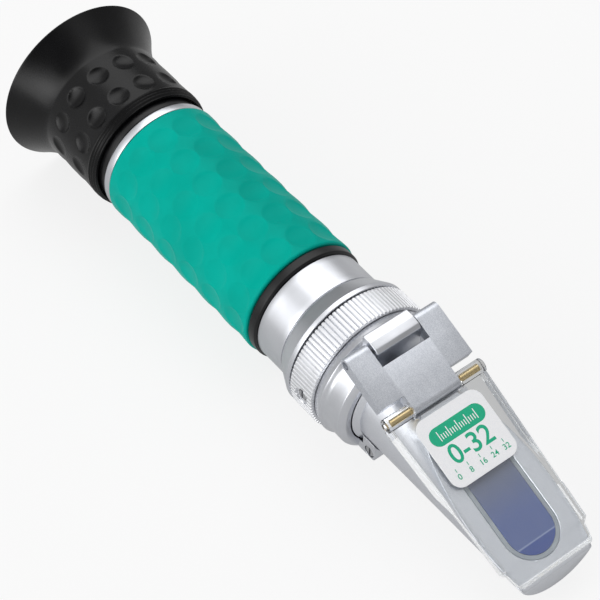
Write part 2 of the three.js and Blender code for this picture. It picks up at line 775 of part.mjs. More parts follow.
// Hinge link, its two pins and the daylight plate, in the frame of the ramp
const linkRadius = linkThickness / 2;
const linkSide = stadium(-linkPinSetback - linkRadius, -platePinSetback + linkRadius, linkRadius);
const linkNotchFloor = -linkPinSetback - linkRadius + linkNotchDepth;
const linkShoulder = -platePinSetback - linkShoulderSetback;
const linkPlan = outline([
  [-linkPinSetback - linkThickness, -linkWidth / 2],
  [linkShoulder - linkCorner, -linkWidth / 2],
  [linkShoulder, -linkWidth / 2 + linkCorner],
  [linkShoulder, -linkTongueWidth / 2],
  [-platePinSetback + linkThickness, -linkTongueWidth / 2],
  [-platePinSetback + linkThickness, linkTongueWidth / 2],
  [linkShoulder, linkTongueWidth / 2],
  [linkShoulder, linkWidth / 2 - linkCorner],
  [linkShoulder - linkCorner, linkWidth / 2],
  [-linkPinSetback - linkThickness, linkWidth / 2],
  [-linkPinSetback - linkThickness, linkNotchWidth / 2],
  [linkNotchFloor, linkNotchWidth / 2],
  [linkNotchFloor, -linkNotchWidth / 2],
  [-linkPinSetback - linkThickness, -linkNotchWidth / 2],
]);
add('hinge_link', cut(
  common(
    sideSlab(linkSide, linkWidth + overrun).translate(0, 0, linkPinRise),
    slab(linkPlan, -linkThickness, linkThickness),
  ),
  crossRod(-linkWidth, linkWidth, linkPinRadius + pinPlay, -linkPinSetback, linkPinRise),
  crossRod(-linkWidth, linkWidth, platePinRadius + pinPlay, -platePinSetback, linkPinRise),
), dullAluminium(), ramp);
const hingePin = (half, radius, setback) => crossRod(-half, half, radius, -setback, linkPinRise);
add('link_pin', hingePin(linkWidth / 2 - linkPinRecess, linkPinRadius, linkPinSetback), steel(), ramp);
add('plate_pin', hingePin(
  plateHingeHalf - platePinRecess,
  platePinRadius,
  platePinSetback,
), brass(), ramp);

const plateUnder = plateFilmGap;
const plateTop = plateUnder + plateThickness;
const earInner = linkTongueWidth / 2 + gap;
const webRear = linkNose + gap + seam;
const plateEdge = [
  [-platePinSetback, plateHingeHalf],
  [-plateMiddleSetback, plateMiddleHalf],
  [-plateLugSetback, plateLugHalf],
  [-plateWaistSetback, plateWaistHalf],
  [-plateTipSetback, plateTipHalf],
];
const mirroredEdge = plateEdge.map(([x, y]) => [x, -y]).reverse();
const platePlan = outline([
  ...plateEdge,
  ...mirroredEdge,
  [-platePinSetback, -earInner],
  [webRear, -earInner],
  [webRear, earInner],
  [-platePinSetback, earInner],
].reverse());
const taperRun = platePinSetback - plateMiddleSetback;
const edgeHalfAt = (setback) => plateHingeHalf - plateTaper * (platePinSetback - setback) / taperRun;
const skirtPlan = (side) => outline([
  [-platePinSetback, side * plateHingeHalf],
  [-platePinSetback, side * (plateHingeHalf - plateSkirtWall)],
  [-plateSkirtSetback, side * (edgeHalfAt(plateSkirtSetback) - plateSkirtWall)],
  [-plateSkirtSetback, side * edgeHalfAt(plateSkirtSetback)],
]);
const beadPlan = (side) => outline([
  [-plateMiddleSetback, side * plateMiddleHalf],
  [-plateMiddleSetback, side * (plateMiddleHalf - plateBeadWidth)],
  [-plateLugSetback, side * (plateLugHalf - plateBeadWidth)],
  [-plateLugSetback, side * plateLugHalf],
]);
const earHalf = (plateHingeHalf - earInner) / 2;
const ear = (side) => crossRod(-earHalf, earHalf, linkRadius, -platePinSetback, linkPinRise)
  .translate(0, side * (earInner + earHalf), 0);
const sides = [-1, 1];
add('daylight_plate', cut(
  joined(
    slab(platePlan, plateUnder, plateTop),
    ...sides.map(ear),
    ...sides.map((side) => slab(skirtPlan(side), plateUnder - plateSkirtDepth, plateTop)),
    ...sides.map((side) => slab(beadPlan(side), plateUnder, plateTop + plateBeadHeight)),
  ),
  crossRod(-linkWidth, linkWidth, platePinRadius + turnPlay, -platePinSetback, linkPinRise),
), finish(0xe6ebee, 0.08), ramp);
const labelRear = -platePinSetback + labelPinInset;
add('plate_label', slab(roundedRectangle(
  labelRear,
  -labelWidth / 2,
  labelRear + labelLength,
  labelWidth / 2,
  labelCorner,
), plateTop + stickerPlay, plateTop + stickerPlay + labelThickness), finish(0xf4f5f7, 0.45), ramp);

// Eyecup: a flared cup, a dimpled collar and a ridged skirt, in one piece of rubber
function cupProfile() {
  const steps = 5;
  const flare = (from, to, station, reach) => {
    const points = [];
    for (let i = 0; i <= steps; i++) {
      const share = i / steps;
      points.push([station - share * reach, from + (to - from) * share ** cupFlarePower]);
    }
    return points;
  };
  const outer = flare(cupCollarRadius, cupRimRadius, cupNeck, cupDepth - cupRimEdge);
  const lipRear = cupNeck - cupLip / 2;
  const innerRim = cupRimRadius - cupRimEdge - cupRimFlat;
  const inner = flare(cupMouthRadius + cupWall, innerRim, lipRear, lipRear - rimStation);
  const bore = focusRingRadius + gap;
  const ridges = [];
  for (let k = 0; k < cupSkirtRidges; k++) {
    const share = k / cupSkirtRidges;
    const valley = collarFront + (share + 1 / (4 * cupSkirtRidges)) * cupSkirtLength;
    const crest = valley + cupSkirtLength / (2 * cupSkirtRidges);
    ridges.push([valley, cupSkirtRadius - cupGroove]);
    ridges.push([crest, cupSkirtRadius - share ** 2 * cupSkirtEdge / 2]);
  }
  return [
    ...outer.reverse(),
    [collarFront, cupCollarRadius],
    ...ridges,
    [skirtFront, cupSkirtRadius - cupSkirtEdge],
    [skirtFront, cupSkirtRadius - cupSkirtWall],
    [focusRingFront, cupSkirtRadius - cupSkirtWall],
    [focusRingFront, bore],
    [focusRingRear - gap, bore],
    [focusRingRear - gap, cupMouthRadius],
    [lipRear, cupMouthRadius],
    ...inner,
    [rimStation, cupRimRadius - cupRimEdge],
  ];
}

// A shallow dish, used to press one dimple at the top of the collar
function dimpleDish(station) {
  const rise = cupDimpleRadius;
  const profile = [
    [-cupDimpleDepth, 0],
    [-cupDimpleDepth * 3 / 4, cupDimpleRadius / 2],
    [0, cupDimpleRadius],
    [rise, cupDimpleRadius + rise],
    [rise, 0],
  ];
  return turned(profile, 8).rotateY(-Math.PI / 2).translate(station, 0, cupCollarRadius);
}
const dimples = [];
for (const share of cupDimpleRowShares)
  for (let k = 0; k < dimplesRound; k++) {
    const station = cupNeck + share * cupCollarLength;
    dimples.push(dimpleDish(station).rotateX((k + 0.5) / dimplesRound * 2 * Math.PI));
  }
add('eyecup', cut(turned(cupProfile(), cupFacets), ...dimples), softBlack());

// Focusing ring, threaded bush and lens cell
add('focus_ring', turned([
  [focusRingRear, focusRingRadius],
  [focusRingFront, focusRingRadius],
  [focusRingFront, bushRadius + gap],
  [focusRingRear + focusRingLip, bushRadius + gap],
  [focusRingRear + focusRingLip, cellBore],
  [focusRingRear, cellBore],
], innerFacets), satinBlack());
const guidePinStation = cellRear + guidePinForwardShare * cellLength;
const guideSlotHalf = guidePinRadius + focusTravel + gap;
add('focus_bush', cut(
  turned([
    [bushRear, bushRadius],
    [bushFlangeRear, bushRadius],
    [bushFlangeRear, bushFlangeRadius],
    [bushFlangeFront, bushFlangeRadius],
    [bushFlangeFront, tubeBore - gap],
    [tubeRear + bushTail, tubeBore - gap],
    [tubeRear + bushTail, bushBore],
    [bushRear, bushBore],
  ], shellFacets),
  block(
    [guidePinStation - guideSlotHalf, -guidePinRadius - turnPlay, 0],
    [guidePinStation + guideSlotHalf, guidePinRadius + turnPlay, bushFlangeRadius],
  ),
), satinBlack());
const cellMouthRadius = cellBore - cellLipWidth;
add('lens_cell', cut(
  turned([
    [cellRear, cellFlangeRadius],
    [cellRear + cellFlangeLength, cellFlangeRadius],
    [cellRear + cellFlangeLength, cellRadius],
    [cellFront, cellRadius],
    [cellFront, cellMouthRadius],
    [cellFront - cellLip, cellMouthRadius],
    [cellFront - cellLip, cellBore],
    [cellRear, cellBore],
  ], innerFacets),
  uprightRod(0, bushFlangeRadius, guidePinRadius + pinPlay, guidePinStation),
), blackenedMetal());
add('guide_pin', uprightRod(
  cellBore + seam,
  bushRadius - seam,
  guidePinRadius,
  guidePinStation,
), steel());
const fieldLensFront = cellFront - cellLip - gap;
const fieldLensRear = fieldLensFront - fieldLensThickness;
const retainerFront = cellRear + retainerLength;
const eyeLensRear = retainerFront + gap;
const eyeLensFront = eyeLensRear + eyeLensThickness;
add('lens_retainer', pipe(
  cellRear,
  retainerFront,
  lensRadius,
  lensRadius - retainerWidth,
), blackenedMetal());
add('eye_lens', lens(eyeLensRear, eyeLensFront, lensRadius), clearGlass());
add('lens_spacer', pipe(
  eyeLensFront + gap,
  fieldLensRear - gap,
  lensRadius,
  lensRadius - spacerWall,
), blackenedMetal());
add('field_lens', lens(fieldLensRear, fieldLensFront, lensRadius), clearGlass());

export default refractometer;
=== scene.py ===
# %% [markdown]
# The instrument is a hand-held refractometer: a drop of juice goes on the sloping glass at the tip,
# the clear plate closes over it, and a scale is read through the eyecup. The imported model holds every
# solid and joint. This file dresses it, one piece and one finish at a time, all in the same frame.

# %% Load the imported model
import bmesh
import bpy
import numpy as np
from mathutils import Matrix, Vector


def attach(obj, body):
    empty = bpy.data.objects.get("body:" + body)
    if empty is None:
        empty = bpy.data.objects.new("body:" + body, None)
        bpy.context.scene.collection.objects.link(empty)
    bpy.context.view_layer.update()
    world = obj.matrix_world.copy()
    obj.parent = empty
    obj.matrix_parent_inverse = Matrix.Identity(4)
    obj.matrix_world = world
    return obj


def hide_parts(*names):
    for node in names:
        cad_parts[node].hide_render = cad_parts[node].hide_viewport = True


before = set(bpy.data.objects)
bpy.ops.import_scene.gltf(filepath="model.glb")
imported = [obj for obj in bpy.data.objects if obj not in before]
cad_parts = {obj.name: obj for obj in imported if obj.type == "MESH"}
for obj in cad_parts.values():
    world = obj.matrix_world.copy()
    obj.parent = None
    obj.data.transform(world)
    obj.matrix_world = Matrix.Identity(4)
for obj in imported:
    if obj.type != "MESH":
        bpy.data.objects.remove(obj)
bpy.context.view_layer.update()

# %% [markdown]
# Lengths are written in millimetres, as on a drawing, and turned into metres only where a mesh is made.
# A surface is a net of points, rows by columns. Its points are worked out as whole arrays and each
# small face joins four neighbours. The same helper welds the seams and poles, turns the faces
# outwards, and shades them smoothly except across real edges.

# %% A net of points becomes a mesh
MM = 0.001


def tidied(mesh, crease, weld=True):
    """Welds points closer than a thousandth of a millimetre and keeps edges sharper than the crease, in
    degrees, as sharp edges of an otherwise smooth surface."""
    if weld:
        net = bmesh.new()
        net.from_mesh(mesh)
        bmesh.ops.remove_doubles(net, verts=net.verts, dist=MM / 1000)
        bmesh.ops.dissolve_degenerate(net, edges=net.edges, dist=MM / 1000)
        net.to_mesh(mesh)
        net.free()
    mesh.polygons.foreach_set("use_smooth", np.ones(len(mesh.polygons), bool))
    mesh.set_sharp_from_angle(angle=np.radians(crease))
    mesh.update()
    return mesh


def mesh_from(points, faces):
    """Points in millimetres, one in each row, and faces with the numbers of four points each."""
    mesh = bpy.data.meshes.new("piece")
    mesh.vertices.add(len(points))
    mesh.vertices.foreach_set("co", (points * MM).ravel())
    mesh.loops.add(faces.size)
    mesh.loops.foreach_set("vertex_index", faces.ravel())
    mesh.polygons.add(len(faces))
    mesh.polygons.foreach_set("loop_start", np.arange(0, faces.size, 4))
    mesh.update(calc_edges=True)
    return mesh


def skin(points, closed_rows=True, closed_columns=True, crease=30):
    """Face (i, j) joins the points (i, j), (i, j + 1), (i + 1, j + 1) and (i + 1, j). Where the sum of the
    little volumes between the faces and the origin is negative, the net is inside out and is turned."""
    rows, columns = points.shape[:2]
    index = np.arange(rows * columns).reshape(rows, columns)
    if closed_rows:
        index = np.concatenate([index, index[:1]])
    if closed_columns:
        index = np.concatenate([index, index[:, :1]], axis=1)
    faces = np.stack([index[:-1, :-1], index[:-1, 1:], index[1:, 1:], index[1:, :-1]], axis=-1)
    faces = faces.reshape(-1, 4)
    flat = points.reshape(-1, 3)
    a, b, c, d = (flat[faces[:, k]] for k in range(4))
    volume = (a * (np.cross(b, c) + np.cross(c, d))).sum()
    return tidied(mesh_from(flat, faces[:, ::-1] if volume < 0 else faces), crease)


def placed(name, data):
    """A new object in the scene: a piece, a tool, a lamp or the camera."""
    thing = bpy.data.objects.new(name, data)
    bpy.context.scene.collection.objects.link(thing)
    return thing


def stand_in(name, mesh, material, body, slot, *nodes):
    """The new piece rides on its body, takes the finish it is given and stands for the solids named. The
    slot is not used.
    """
    mesh.name = name
    mesh.materials.clear()
    mesh.materials.append(material)
    piece = placed(name, mesh)
    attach(piece, body)
    if nodes:
        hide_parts(*nodes)
    print(name, "has", len(mesh.polygons), "faces")
    return piece


# %% [markdown]
# Nearly every edge of a real part is a small arc, which is what catches the light. So outlines are
# given as corners, and one helper rounds them all at once. Another puts points along the straight
# spans, because a dimple or a groove can only be pressed where the net has points.

# %% Outlines with rounded corners
def rounded(corners, radii, steps=6):
    """A corner with the half angle h between its sides gets an arc of radius r. It leaves each side at
    r / tan h from the corner, and its centre lies r / sin h away on the line that halves the angle.
    The last two axes are corners and coordinates, so a whole stack of outlines can be done at once."""
    corner = np.asarray(corners, float)
    radius = np.broadcast_to(np.asarray(radii, float), corner.shape[:-1])[..., None]
    back = np.roll(corner, 1, axis=-2) - corner
    ahead = np.roll(corner, -1, axis=-2) - corner
    back = back / np.linalg.norm(back, axis=-1, keepdims=True)
    ahead = ahead / np.linalg.norm(ahead, axis=-1, keepdims=True)
    half = 0.5 * np.arccos(np.clip((back * ahead).sum(-1, keepdims=True), -1, 1))
    middle = back + ahead
    middle = middle / np.maximum(np.linalg.norm(middle, axis=-1, keepdims=True), 1e-9)
    centre = corner + middle * radius / np.sin(half)
    first = corner + back * radius / np.tan(half) - centre
    last = corner + ahead * radius / np.tan(half) - centre
    sweep = np.pi - 2 * half
    share = np.linspace(0, 1, steps + 1)[:, None]
    first, last, sweep = first[..., None, :], last[..., None, :], sweep[..., None, :]
    turn = np.maximum(np.sin(sweep), 1e-9)
    arc = (np.sin((1 - share) * sweep) * first + np.sin(share * sweep) * last) / turn
    points = np.where(radius[..., None, :] > 0, centre[..., None, :] + arc, corner[..., None, :])
    return points.reshape(*corner.shape[:-2], -1, 2)


def resampled(outline, spacing):
    """Each span of the closed outline is split into the fewest equal parts no longer than the spacing,
    which may be one number or one for each span."""
    ahead = np.roll(outline, -1, axis=0)
    length = np.linalg.norm(ahead - outline, axis=1)
    parts = np.ceil(length / spacing - 1e-6).astype(int)
    span = np.repeat(np.arange(len(outline)), parts)
    step = np.arange(parts.sum()) - np.repeat(np.cumsum(parts) - parts, parts)
    share = (step / parts[span])[:, None]
    return outline[span] + share * (ahead - outline)[span]


def revolved(outline, angles, relief=None):
    """The point (x, r) of the outline goes round the X axis: at the angle a, from +Z towards -Y, it lies
    at (x, -r sin a, r cos a). The relief, a function of x, r and a, is taken off the radius."""
    x = outline[None, :, 0]
    r = outline[None, :, 1]
    a = np.asarray(angles)[:, None]
    if relief is not None:
        r = r - relief(x, r, a)
    x, r, a = np.broadcast_arrays(x, r, a)
    return np.stack([x, -r * np.sin(a), r * np.cos(a)], axis=-1)


def round_the_axis(count):
    return np.linspace(0, 2 * np.pi, count, endpoint=False)


def turned(outline, around, relief=None):
    """The outline goes round the axis in that many steps, as on a lathe."""
    return skin(revolved(outline, round_the_axis(around), relief))


print("a square with soft corners has", len(rounded([[0, 0], [1, 0], [1, 1], [0, 1]], 0.2)), "points")

# %% [markdown]
# A finish is a small network of nodes. Its maths reads like ordinary sums, because a socket is wrapped
# in a class that adds a Math node for each operator. Patterns are laid out in object space and in
# millimetres, so their grain has the same real size on every piece.

# %% Shader maths as plain sums
class Flow:
    """One output socket of a node. Sums, differences and products of flows add Math nodes."""

    def __init__(self, tree, socket):
        self.tree = tree
        self.socket = socket

    def math(self, operation, *values):
        return self.tree.node("ShaderNodeMath", {"operation": operation}, dict(enumerate(values)))

    def __add__(self, other):
        return self.math("ADD", self, other)

    def __radd__(self, other):
        return self.math("ADD", other, self)

    def __sub__(self, other):
        return self.math("SUBTRACT", self, other)

    def __rsub__(self, other):
        return self.math("SUBTRACT", other, self)

    def __mul__(self, other):
        return self.math("MULTIPLY", self, other)

    def __rmul__(self, other):
        return self.math("MULTIPLY", other, self)

    def at_least(self, other):
        return self.math("MAXIMUM", self, other)


class Network:
    """The nodes of a material or of the room, added call by call up to the shader that ends them."""

    def __init__(self, owner, ending):
        owner.use_nodes = True
        self.owner = owner
        self.tree = owner.node_tree
        self.tree.nodes.clear()
        self.surface = self.tree.nodes.new(ending).inputs["Surface"]

    def done(self, shader):
        self.tree.links.new(shader.socket, self.surface)
        return self.owner

    def node(self, kind, settings=None, sockets=None, output=0):
        """One node: first its settings, then a value or a link for each socket that is named."""
        made = self.tree.nodes.new(kind)
        for key, value in (settings or {}).items():
            setattr(made, key, value)
        for key, value in (sockets or {}).items():
            if isinstance(value, Flow):
                self.tree.links.new(value.socket, made.inputs[key])
            else:
                made.inputs[key].default_value = value
        return Flow(self, made.outputs[output])

    def ray(self, kind):
        """1 for the rays of one kind, such as those from the camera, and 0 for all others."""
        return self.node("ShaderNodeLightPath", output=f"Is {kind} Ray")

    def fade(self, value, low, high):
        """0 below low, 1 above high, and smooth between."""
        return self.node("ShaderNodeMapRange", {"interpolation_type": "SMOOTHSTEP", "clamp": True}, {
            "Value": value, "From Min": low, "From Max": high,
        })

    def mix(self, share, first, second):
        """The first colour where the share is 0, the second where it is 1."""
        return self.node("ShaderNodeMix", {"data_type": "RGBA"}, {0: share, 6: first, 7: second}, output=2)

    def reach(self, vector, direction):
        """How far a vector reaches in a direction: their dot product."""
        return self.node("ShaderNodeVectorMath", {"operation": "DOT_PRODUCT"}, {0: vector, 1: direction},
                         output="Value")

    def mixed_shaders(self, share, first, second):
        return self.node("ShaderNodeMixShader", sockets={0: share, 1: first, 2: second})


class Finish(Network):
    """The network of one material, with patterns that are laid out in millimetres."""

    def __init__(self, name):
        super().__init__(bpy.data.materials.new(name), "ShaderNodeOutputMaterial")

    def see_through(self, red, green, blue):
        """Lets light pass without bending it, and tints it by the three shares."""
        return self.node("ShaderNodeBsdfTransparent", sockets={"Color": (red, green, blue, 1.0)})

    def place(self, scale=1.0):
        """Object coordinates in millimetres, times a scale."""
        where = self.node("ShaderNodeTexCoord", output="Object")
        stretch = (scale / MM,) * 3
        return self.node("ShaderNodeVectorMath", {"operation": "MULTIPLY"}, {0: where, 1: stretch})

    def noise(self, per_mm, detail=2.0, roughness=0.5):
        """Soft random values round 0.5, with about per_mm blobs to the millimetre."""
        return self.node("ShaderNodeTexNoise", sockets={
            "Vector": self.place(per_mm), "Scale": 1.0, "Detail": detail, "Roughness": roughness,
        }, output="Fac")

    def rings(self, per_mm, detail=3.0):
        """Random values that change only along the axis and with the distance from it, as the fine
        grooves left by a lathe do: noise of x + r."""
        across = self.node("ShaderNodeVectorMath", {"operation": "MULTIPLY"},
                           {0: self.place(), 1: (0.0, 1.0, 1.0)})
        far = self.node("ShaderNodeVectorMath", {"operation": "LENGTH"}, {0: across}, output="Value")
        along = self.node("ShaderNodeSeparateXYZ", sockets={0: self.place()}, output="X")
        return self.node("ShaderNodeTexNoise", {"noise_dimensions": "1D"}, {
            "W": (along + far) * per_mm, "Scale": 1.0, "Detail": detail,
        }, output="Fac")

    def bump(self, height_mm):
        """A normal tilted by a height in millimetres."""
        return self.node("ShaderNodeBump", sockets={"Strength": 1.0, "Distance": MM, "Height": height_mm})

    def principled(self, **sockets):
        """The one shader used for all solid finishes, with its sockets named as on the node."""
        named = {key.replace("_", " "): value for key, value in sockets.items()}
        return self.node("ShaderNodeBsdfPrincipled", sockets=named, output="BSDF")


def tone(red, green, blue):
    """A colour as picked on a screen, 0 to 255, turned into the linear light that nodes work with:
    ((c + 0.055) / 1.055) to the power 2.4, or c / 12.92 for the darkest ones."""
    c = np.array([red, green, blue]) / 255
    linear = np.where(c > 0.04045, ((c + 0.055) / 1.055) ** 2.4, c / 12.92)
    return (*linear.tolist(), 1.0)


print("middle grey in linear light:", tone(128, 128, 128)[:3])

# %% [markdown]
# The eyecup and the grip are rubber. The cup is a black, slightly glossy rubber with a faint mottling
# and the fine grain of its mould. The grip is a strongly coloured rubber with almost no shine. One
# function serves every moulding, because they differ only in how coarse the mottling and the grain are
# and in how much each of them does.

# %% Rubber finishes
def moulded_finish(name, dark, light, rough, shine=0.35, mottling=(0.3, 0.12), grain=(5, 0.08),
                   start=0.3, hills=0.0, metallic=0.0):
    """Mottling and grain are each given by their spots to the millimetre and by what they add to the
    roughness. The mottling also leads from the dark colour, at the start, to the light one."""
    tree = Finish(name)
    mottle = tree.noise(mottling[0], detail=3)
    fine = tree.noise(grain[0], detail=2)
    return tree.done(tree.principled(
        Base_Color=tree.mix(tree.fade(mottle, start, 0.7), dark, light),
        Metallic=metallic,
        Roughness=rough + mottling[1] * mottle + grain[1] * fine,
        Specular_IOR_Level=shine,
        Normal=tree.bump(0.006 * fine + hills * mottle),
    ))


black_rubber = moulded_finish("black_cup_rubber", tone(4, 4, 5), tone(8, 8, 10), rough=0.17, shine=0.3,
                              mottling=(0.18, 0.08), grain=(7, 0.1), start=0.35, hills=0.01)
green_rubber = moulded_finish("green_grip_rubber", tone(0, 165, 149), tone(0, 173, 157), rough=0.3,
                              shine=0.04, mottling=(0.12, 0.0), grain=(9, 0.12))
print("rubber finishes:", black_rubber.name, green_rubber.name)

# %% [markdown]
# The eyecup is one moulding: a flared cup, a collar with two rows of round dimples, and a short skirt
# with three fine ridges. It is a turned shape, so its outline in (x, r) goes round the axis, and the
# dimples are pressed in as a relief on the net. The flare follows a power law, which leaves the collar
# smoothly and steepens towards the rim.

# %% The eyecup
def dishes(x, r, a, rows, radius, depth, crispness, round_count=14):
    """Round dishes: at the distance d from the nearest centre the surface sinks by
    depth times (1 - (d / R) squared) to the power of the crispness, and by nothing past R."""
    pitch = 2 * np.pi / round_count
    turn = a / pitch - 0.5
    across = (turn - np.round(turn)) * pitch * r
    along = np.abs(x[..., None] - np.asarray(rows)).min(axis=-1)
    inside = np.clip(1 - (along ** 2 + across ** 2) / radius ** 2, 0, 1)
    return depth * inside ** crispness


def eyecup_outline():
    """The outer flare is r = 15.55 + 5.05 t^1.4 and the inner one r = 12.1 + 7.25 t^1.4, with t from 0 at
    the neck to 1 at the rim. The skirt's ridges are a squared sine along it."""
    t = np.linspace(0, 1, 30)
    outer = np.stack([-73.9 - 9.45 * t, 15.55 + 5.05 * t ** 1.4], axis=1)[::-1]
    inner = np.stack([-74.4 - 9.4 * t, 12.1 + 7.25 * t ** 1.4], axis=1)
    u = np.linspace(0, 1, 40)
    ridge = 15.65 - 0.35 * np.sin(3 * np.pi * u) ** 2 * (u < 0.99) - 0.3 * u ** 3
    skirt = np.stack([-57.6 + 2.45 * u, ridge], axis=1)
    corners = np.concatenate([
        outer, [[-57.8, 15.55]], skirt,
        [[-55.1, 14.75], [-58.4, 14.75], [-58.4, 13.55], [-73.2, 13.55], [-73.2, 10.8], [-74.4, 10.8]],
        inner[:-1], [[-83.8, 19.35], [-83.8, 20.15]],
    ])
    radii = np.zeros(len(corners))
    radii[[-1, -2]] = 0.12, 0.35
    radii[0] = 0.18
    inside_corner = len(outer) + len(skirt) + 5
    radii[inside_corner:inside_corner + 2] = 0.3
    return rounded(corners, radii, steps=4)


outline = eyecup_outline()
on_collar = (outline[:, 0] > -74) & (outline[:, 0] < -57.7) & (outline[:, 1] > 15)
cup_outline = resampled(outline, np.where(on_collar, 0.26, 0.9))


def cup_relief(x, r, a):
    pressed = dishes(x, r, a, rows=(-69.2, -61.26), radius=2.4, depth=0.66, crispness=0.7)
    return np.where(r > 15.3, pressed, 0)


stand_in("eyecup_rubber", turned(cup_outline, 420, cup_relief), black_rubber,
         "eyepiece", "black_rubber", "eyecup")

# %% [markdown]
# The grip is a plain sleeve with six rings of wider, shallower dimples. They line up along the axis, so
# the outline of the sleeve against the light is a row of small scallops.

# %% The green grip
grip_corners = [[-50.7, 13.2], [-50.7, 15.0], [-0.1, 15.0], [-0.1, 13.2]]
grip_line = rounded(grip_corners, [0.15, 0.6, 0.6, 0.15], steps=5)
grip_line = resampled(grip_line, np.where(grip_line[:, 1] > 14.99, 0.36, 4.0))


def grip_relief(x, r, a):
    rows = -4.2 - 8.12 * np.arange(6)
    return np.where(r > 14.9, dishes(x, r, a, rows, radius=3.3, depth=0.58, crispness=0.8), 0)


stand_in("grip_rubber", turned(grip_line, 420, grip_relief), green_rubber,
         "housing", "green_rubber", "grip_sleeve")

# %% [markdown]
# The black rings behind and in front of the grip are a moulded plastic with a satin shine. Its bump is a
# fine orange peel, and slow changes in roughness break up the reflection as handling does. The metal
# inside the instrument is blackened, so that it throws no stray light. The grey rubber is for the seal
# of the prism. All three are made as the rubbers are, with other colours and another shine.

# %% Black plastic, blackened metal and grey rubber
black_plastic = moulded_finish("satin_black_plastic", tone(10, 10, 12), tone(20, 20, 22), rough=0.2)
black_metal = moulded_finish("blackened_metal", tone(22, 22, 23), tone(40, 40, 42), rough=0.42,
                             metallic=0.5)
grey_rubber = moulded_finish("grey_seal_rubber", tone(166, 172, 178), tone(180, 186, 190), rough=0.4)
print("dark finishes:", black_plastic.name, black_metal.name, grey_rubber.name)

# %% [markdown]
# Behind the grip a black bush carries the focusing ring, which turns with the eyecup. In front of the
# grip sits a thin black band. All three are turned shapes, so their outlines are drawn as corners.

# %% The rings round the grip
bush_corners = [
    [-66.0, 11.7], [-56.6, 11.7], [-56.6, 14.2], [-53.1, 14.2], [-53.1, 11.6], [-47.95, 11.6],
    [-47.95, 10.6], [-66.0, 10.6],
]
bush_line = resampled(rounded(bush_corners, [0.1, 0, 0.25, 0.3, 0, 0.2, 0.1, 0.1], steps=4), 3)
stand_in("bush_ring", turned(bush_line, 180), black_plastic, "housing", "black_plastic", "focus_bush")

focus_corners = [[-72.9, 8.9], [-72.9, 13.25], [-58.4, 13.25], [-58.4, 12.0], [-71.3, 12.0], [-71.3, 8.9]]
focus_line = resampled(rounded(focus_corners, [0.25, 0.3, 0.3, 0.2, 0, 0.25], steps=3), 3)
stand_in("focus_carrier", turned(focus_line, 160), black_plastic,
         "eyepiece", "black_plastic", "focus_ring")

band_corners = [[0.05, 13.2], [0.05, 14.2], [0.4, 14.55], [2.25, 14.55], [2.6, 14.0], [2.65, 13.2]]
band_line = rounded(band_corners, [0, 0.1, 0.15, 0.25, 0.1, 0], steps=4)
stand_in("front_band", turned(band_line, 240), black_plastic, "housing", "black_plastic", "grip_band")

# %% [markdown]
# The head, the knurled ring and the front body are turned from aluminium and left bare with a satin
# surface. A lathe leaves rings so fine that they are felt as silkiness: the finish bends the normal by a
# few thousandths of a millimetre with noise that changes only along the axis, which draws the
# highlight out into bands. The prism box and the hinge link are blasted with sand instead.

# %% Metal finishes
def turned_metal_finish(name, colour, rough, groove):
    """Fine rings tilt the normal, slow stains tint the colour, and stains and handling roughen it."""
    tree = Finish(name)
    lathe = tree.rings(5.0)
    slow = tree.noise(0.2, detail=3)
    handled = tree.noise(2.2, detail=4)
    return tree.done(tree.principled(
        Base_Color=tree.mix(tree.fade(slow, 0.3, 0.75), tone(*colour), tone(*(k - 7 for k in colour))),
        Metallic=1.0,
        Roughness=rough + 0.08 * slow + 0.07 * handled,
        Normal=tree.bump(groove * lathe),
    ))


def blasted_metal_finish(name, dark, light, rough, pit_depth):
    """Sandblasted metal: pits of a tenth of a millimetre, with painted shade that darkens their bottoms."""
    tree = Finish(name)
    pits = tree.noise(4.5, detail=4, roughness=0.7)
    patches = tree.noise(0.6, detail=2)
    return tree.done(tree.principled(
        # Painted shade: the colour darkens where the pits sink, mixed with random patches of tone.
        Base_Color=tree.mix(tree.fade(0.85 * pits + 0.15 * patches, 0.34, 0.68), dark, light),
        Metallic=1.0,
        Roughness=rough + 0.15 * pits,
        Normal=tree.bump(pit_depth * pits),
    ))


bare_aluminium = turned_metal_finish("turned_aluminium", (222, 224, 229), rough=0.24, groove=0.004)
knurl_aluminium = turned_metal_finish("knurled_aluminium", (240, 241, 244), rough=0.36, groove=0.002)
steel = turned_metal_finish("turned_steel", (190, 191, 194), rough=0.2, groove=0.003)
brass = turned_metal_finish("turned_brass", (222, 200, 152), rough=0.22, groove=0.003)
box_aluminium = blasted_metal_finish("finely_blasted_aluminium", tone(222, 225, 231),
                                     tone(231, 233, 238), rough=0.3, pit_depth=0.003)
dull_aluminium = blasted_metal_finish("coarsely_blasted_aluminium", tone(196, 200, 208),
                                      tone(228, 231, 237), rough=0.36, pit_depth=0.012)
print("metal finishes:", bare_aluminium.name, dull_aluminium.name, steel.name, brass.name)

# %% [markdown]
# A narrow bare ring closes the grip at the back. In front of the grip the bare head is a short tube with
# one scribed line, and then a cone that widens to the knurled ring.

# %% The bare ring and the bare head
collar_line = rounded([[-52.95, 13.2], [-52.95, 14.67], [-50.85, 14.67], [-50.85, 13.2]],
                      [0.1, 0.45, 0.15, 0.1], steps=4)
stand_in("rear_ring", turned(collar_line, 240), bare_aluminium,
         "housing", "bare_aluminium", "rear_collar")

head_corners = [
    [2.8, 13.2], [2.8, 13.97], [10.9, 13.97], [10.9, 13.67], [11.2, 13.67], [11.2, 14.1], [15.4, 16.2],
    [16.5, 16.2], [16.5, 13.2],
]
head_radii = [0.05, 0.12, 0.1, 0.05, 0.05, 0.1, 0.25, 0.12, 0.05]
head_line = resampled(rounded(head_corners, head_radii, steps=4), 1.5)
stand_in("head_shell", turned(head_line, 240), bare_aluminium, "housing", "bare_aluminium", "head_tube")

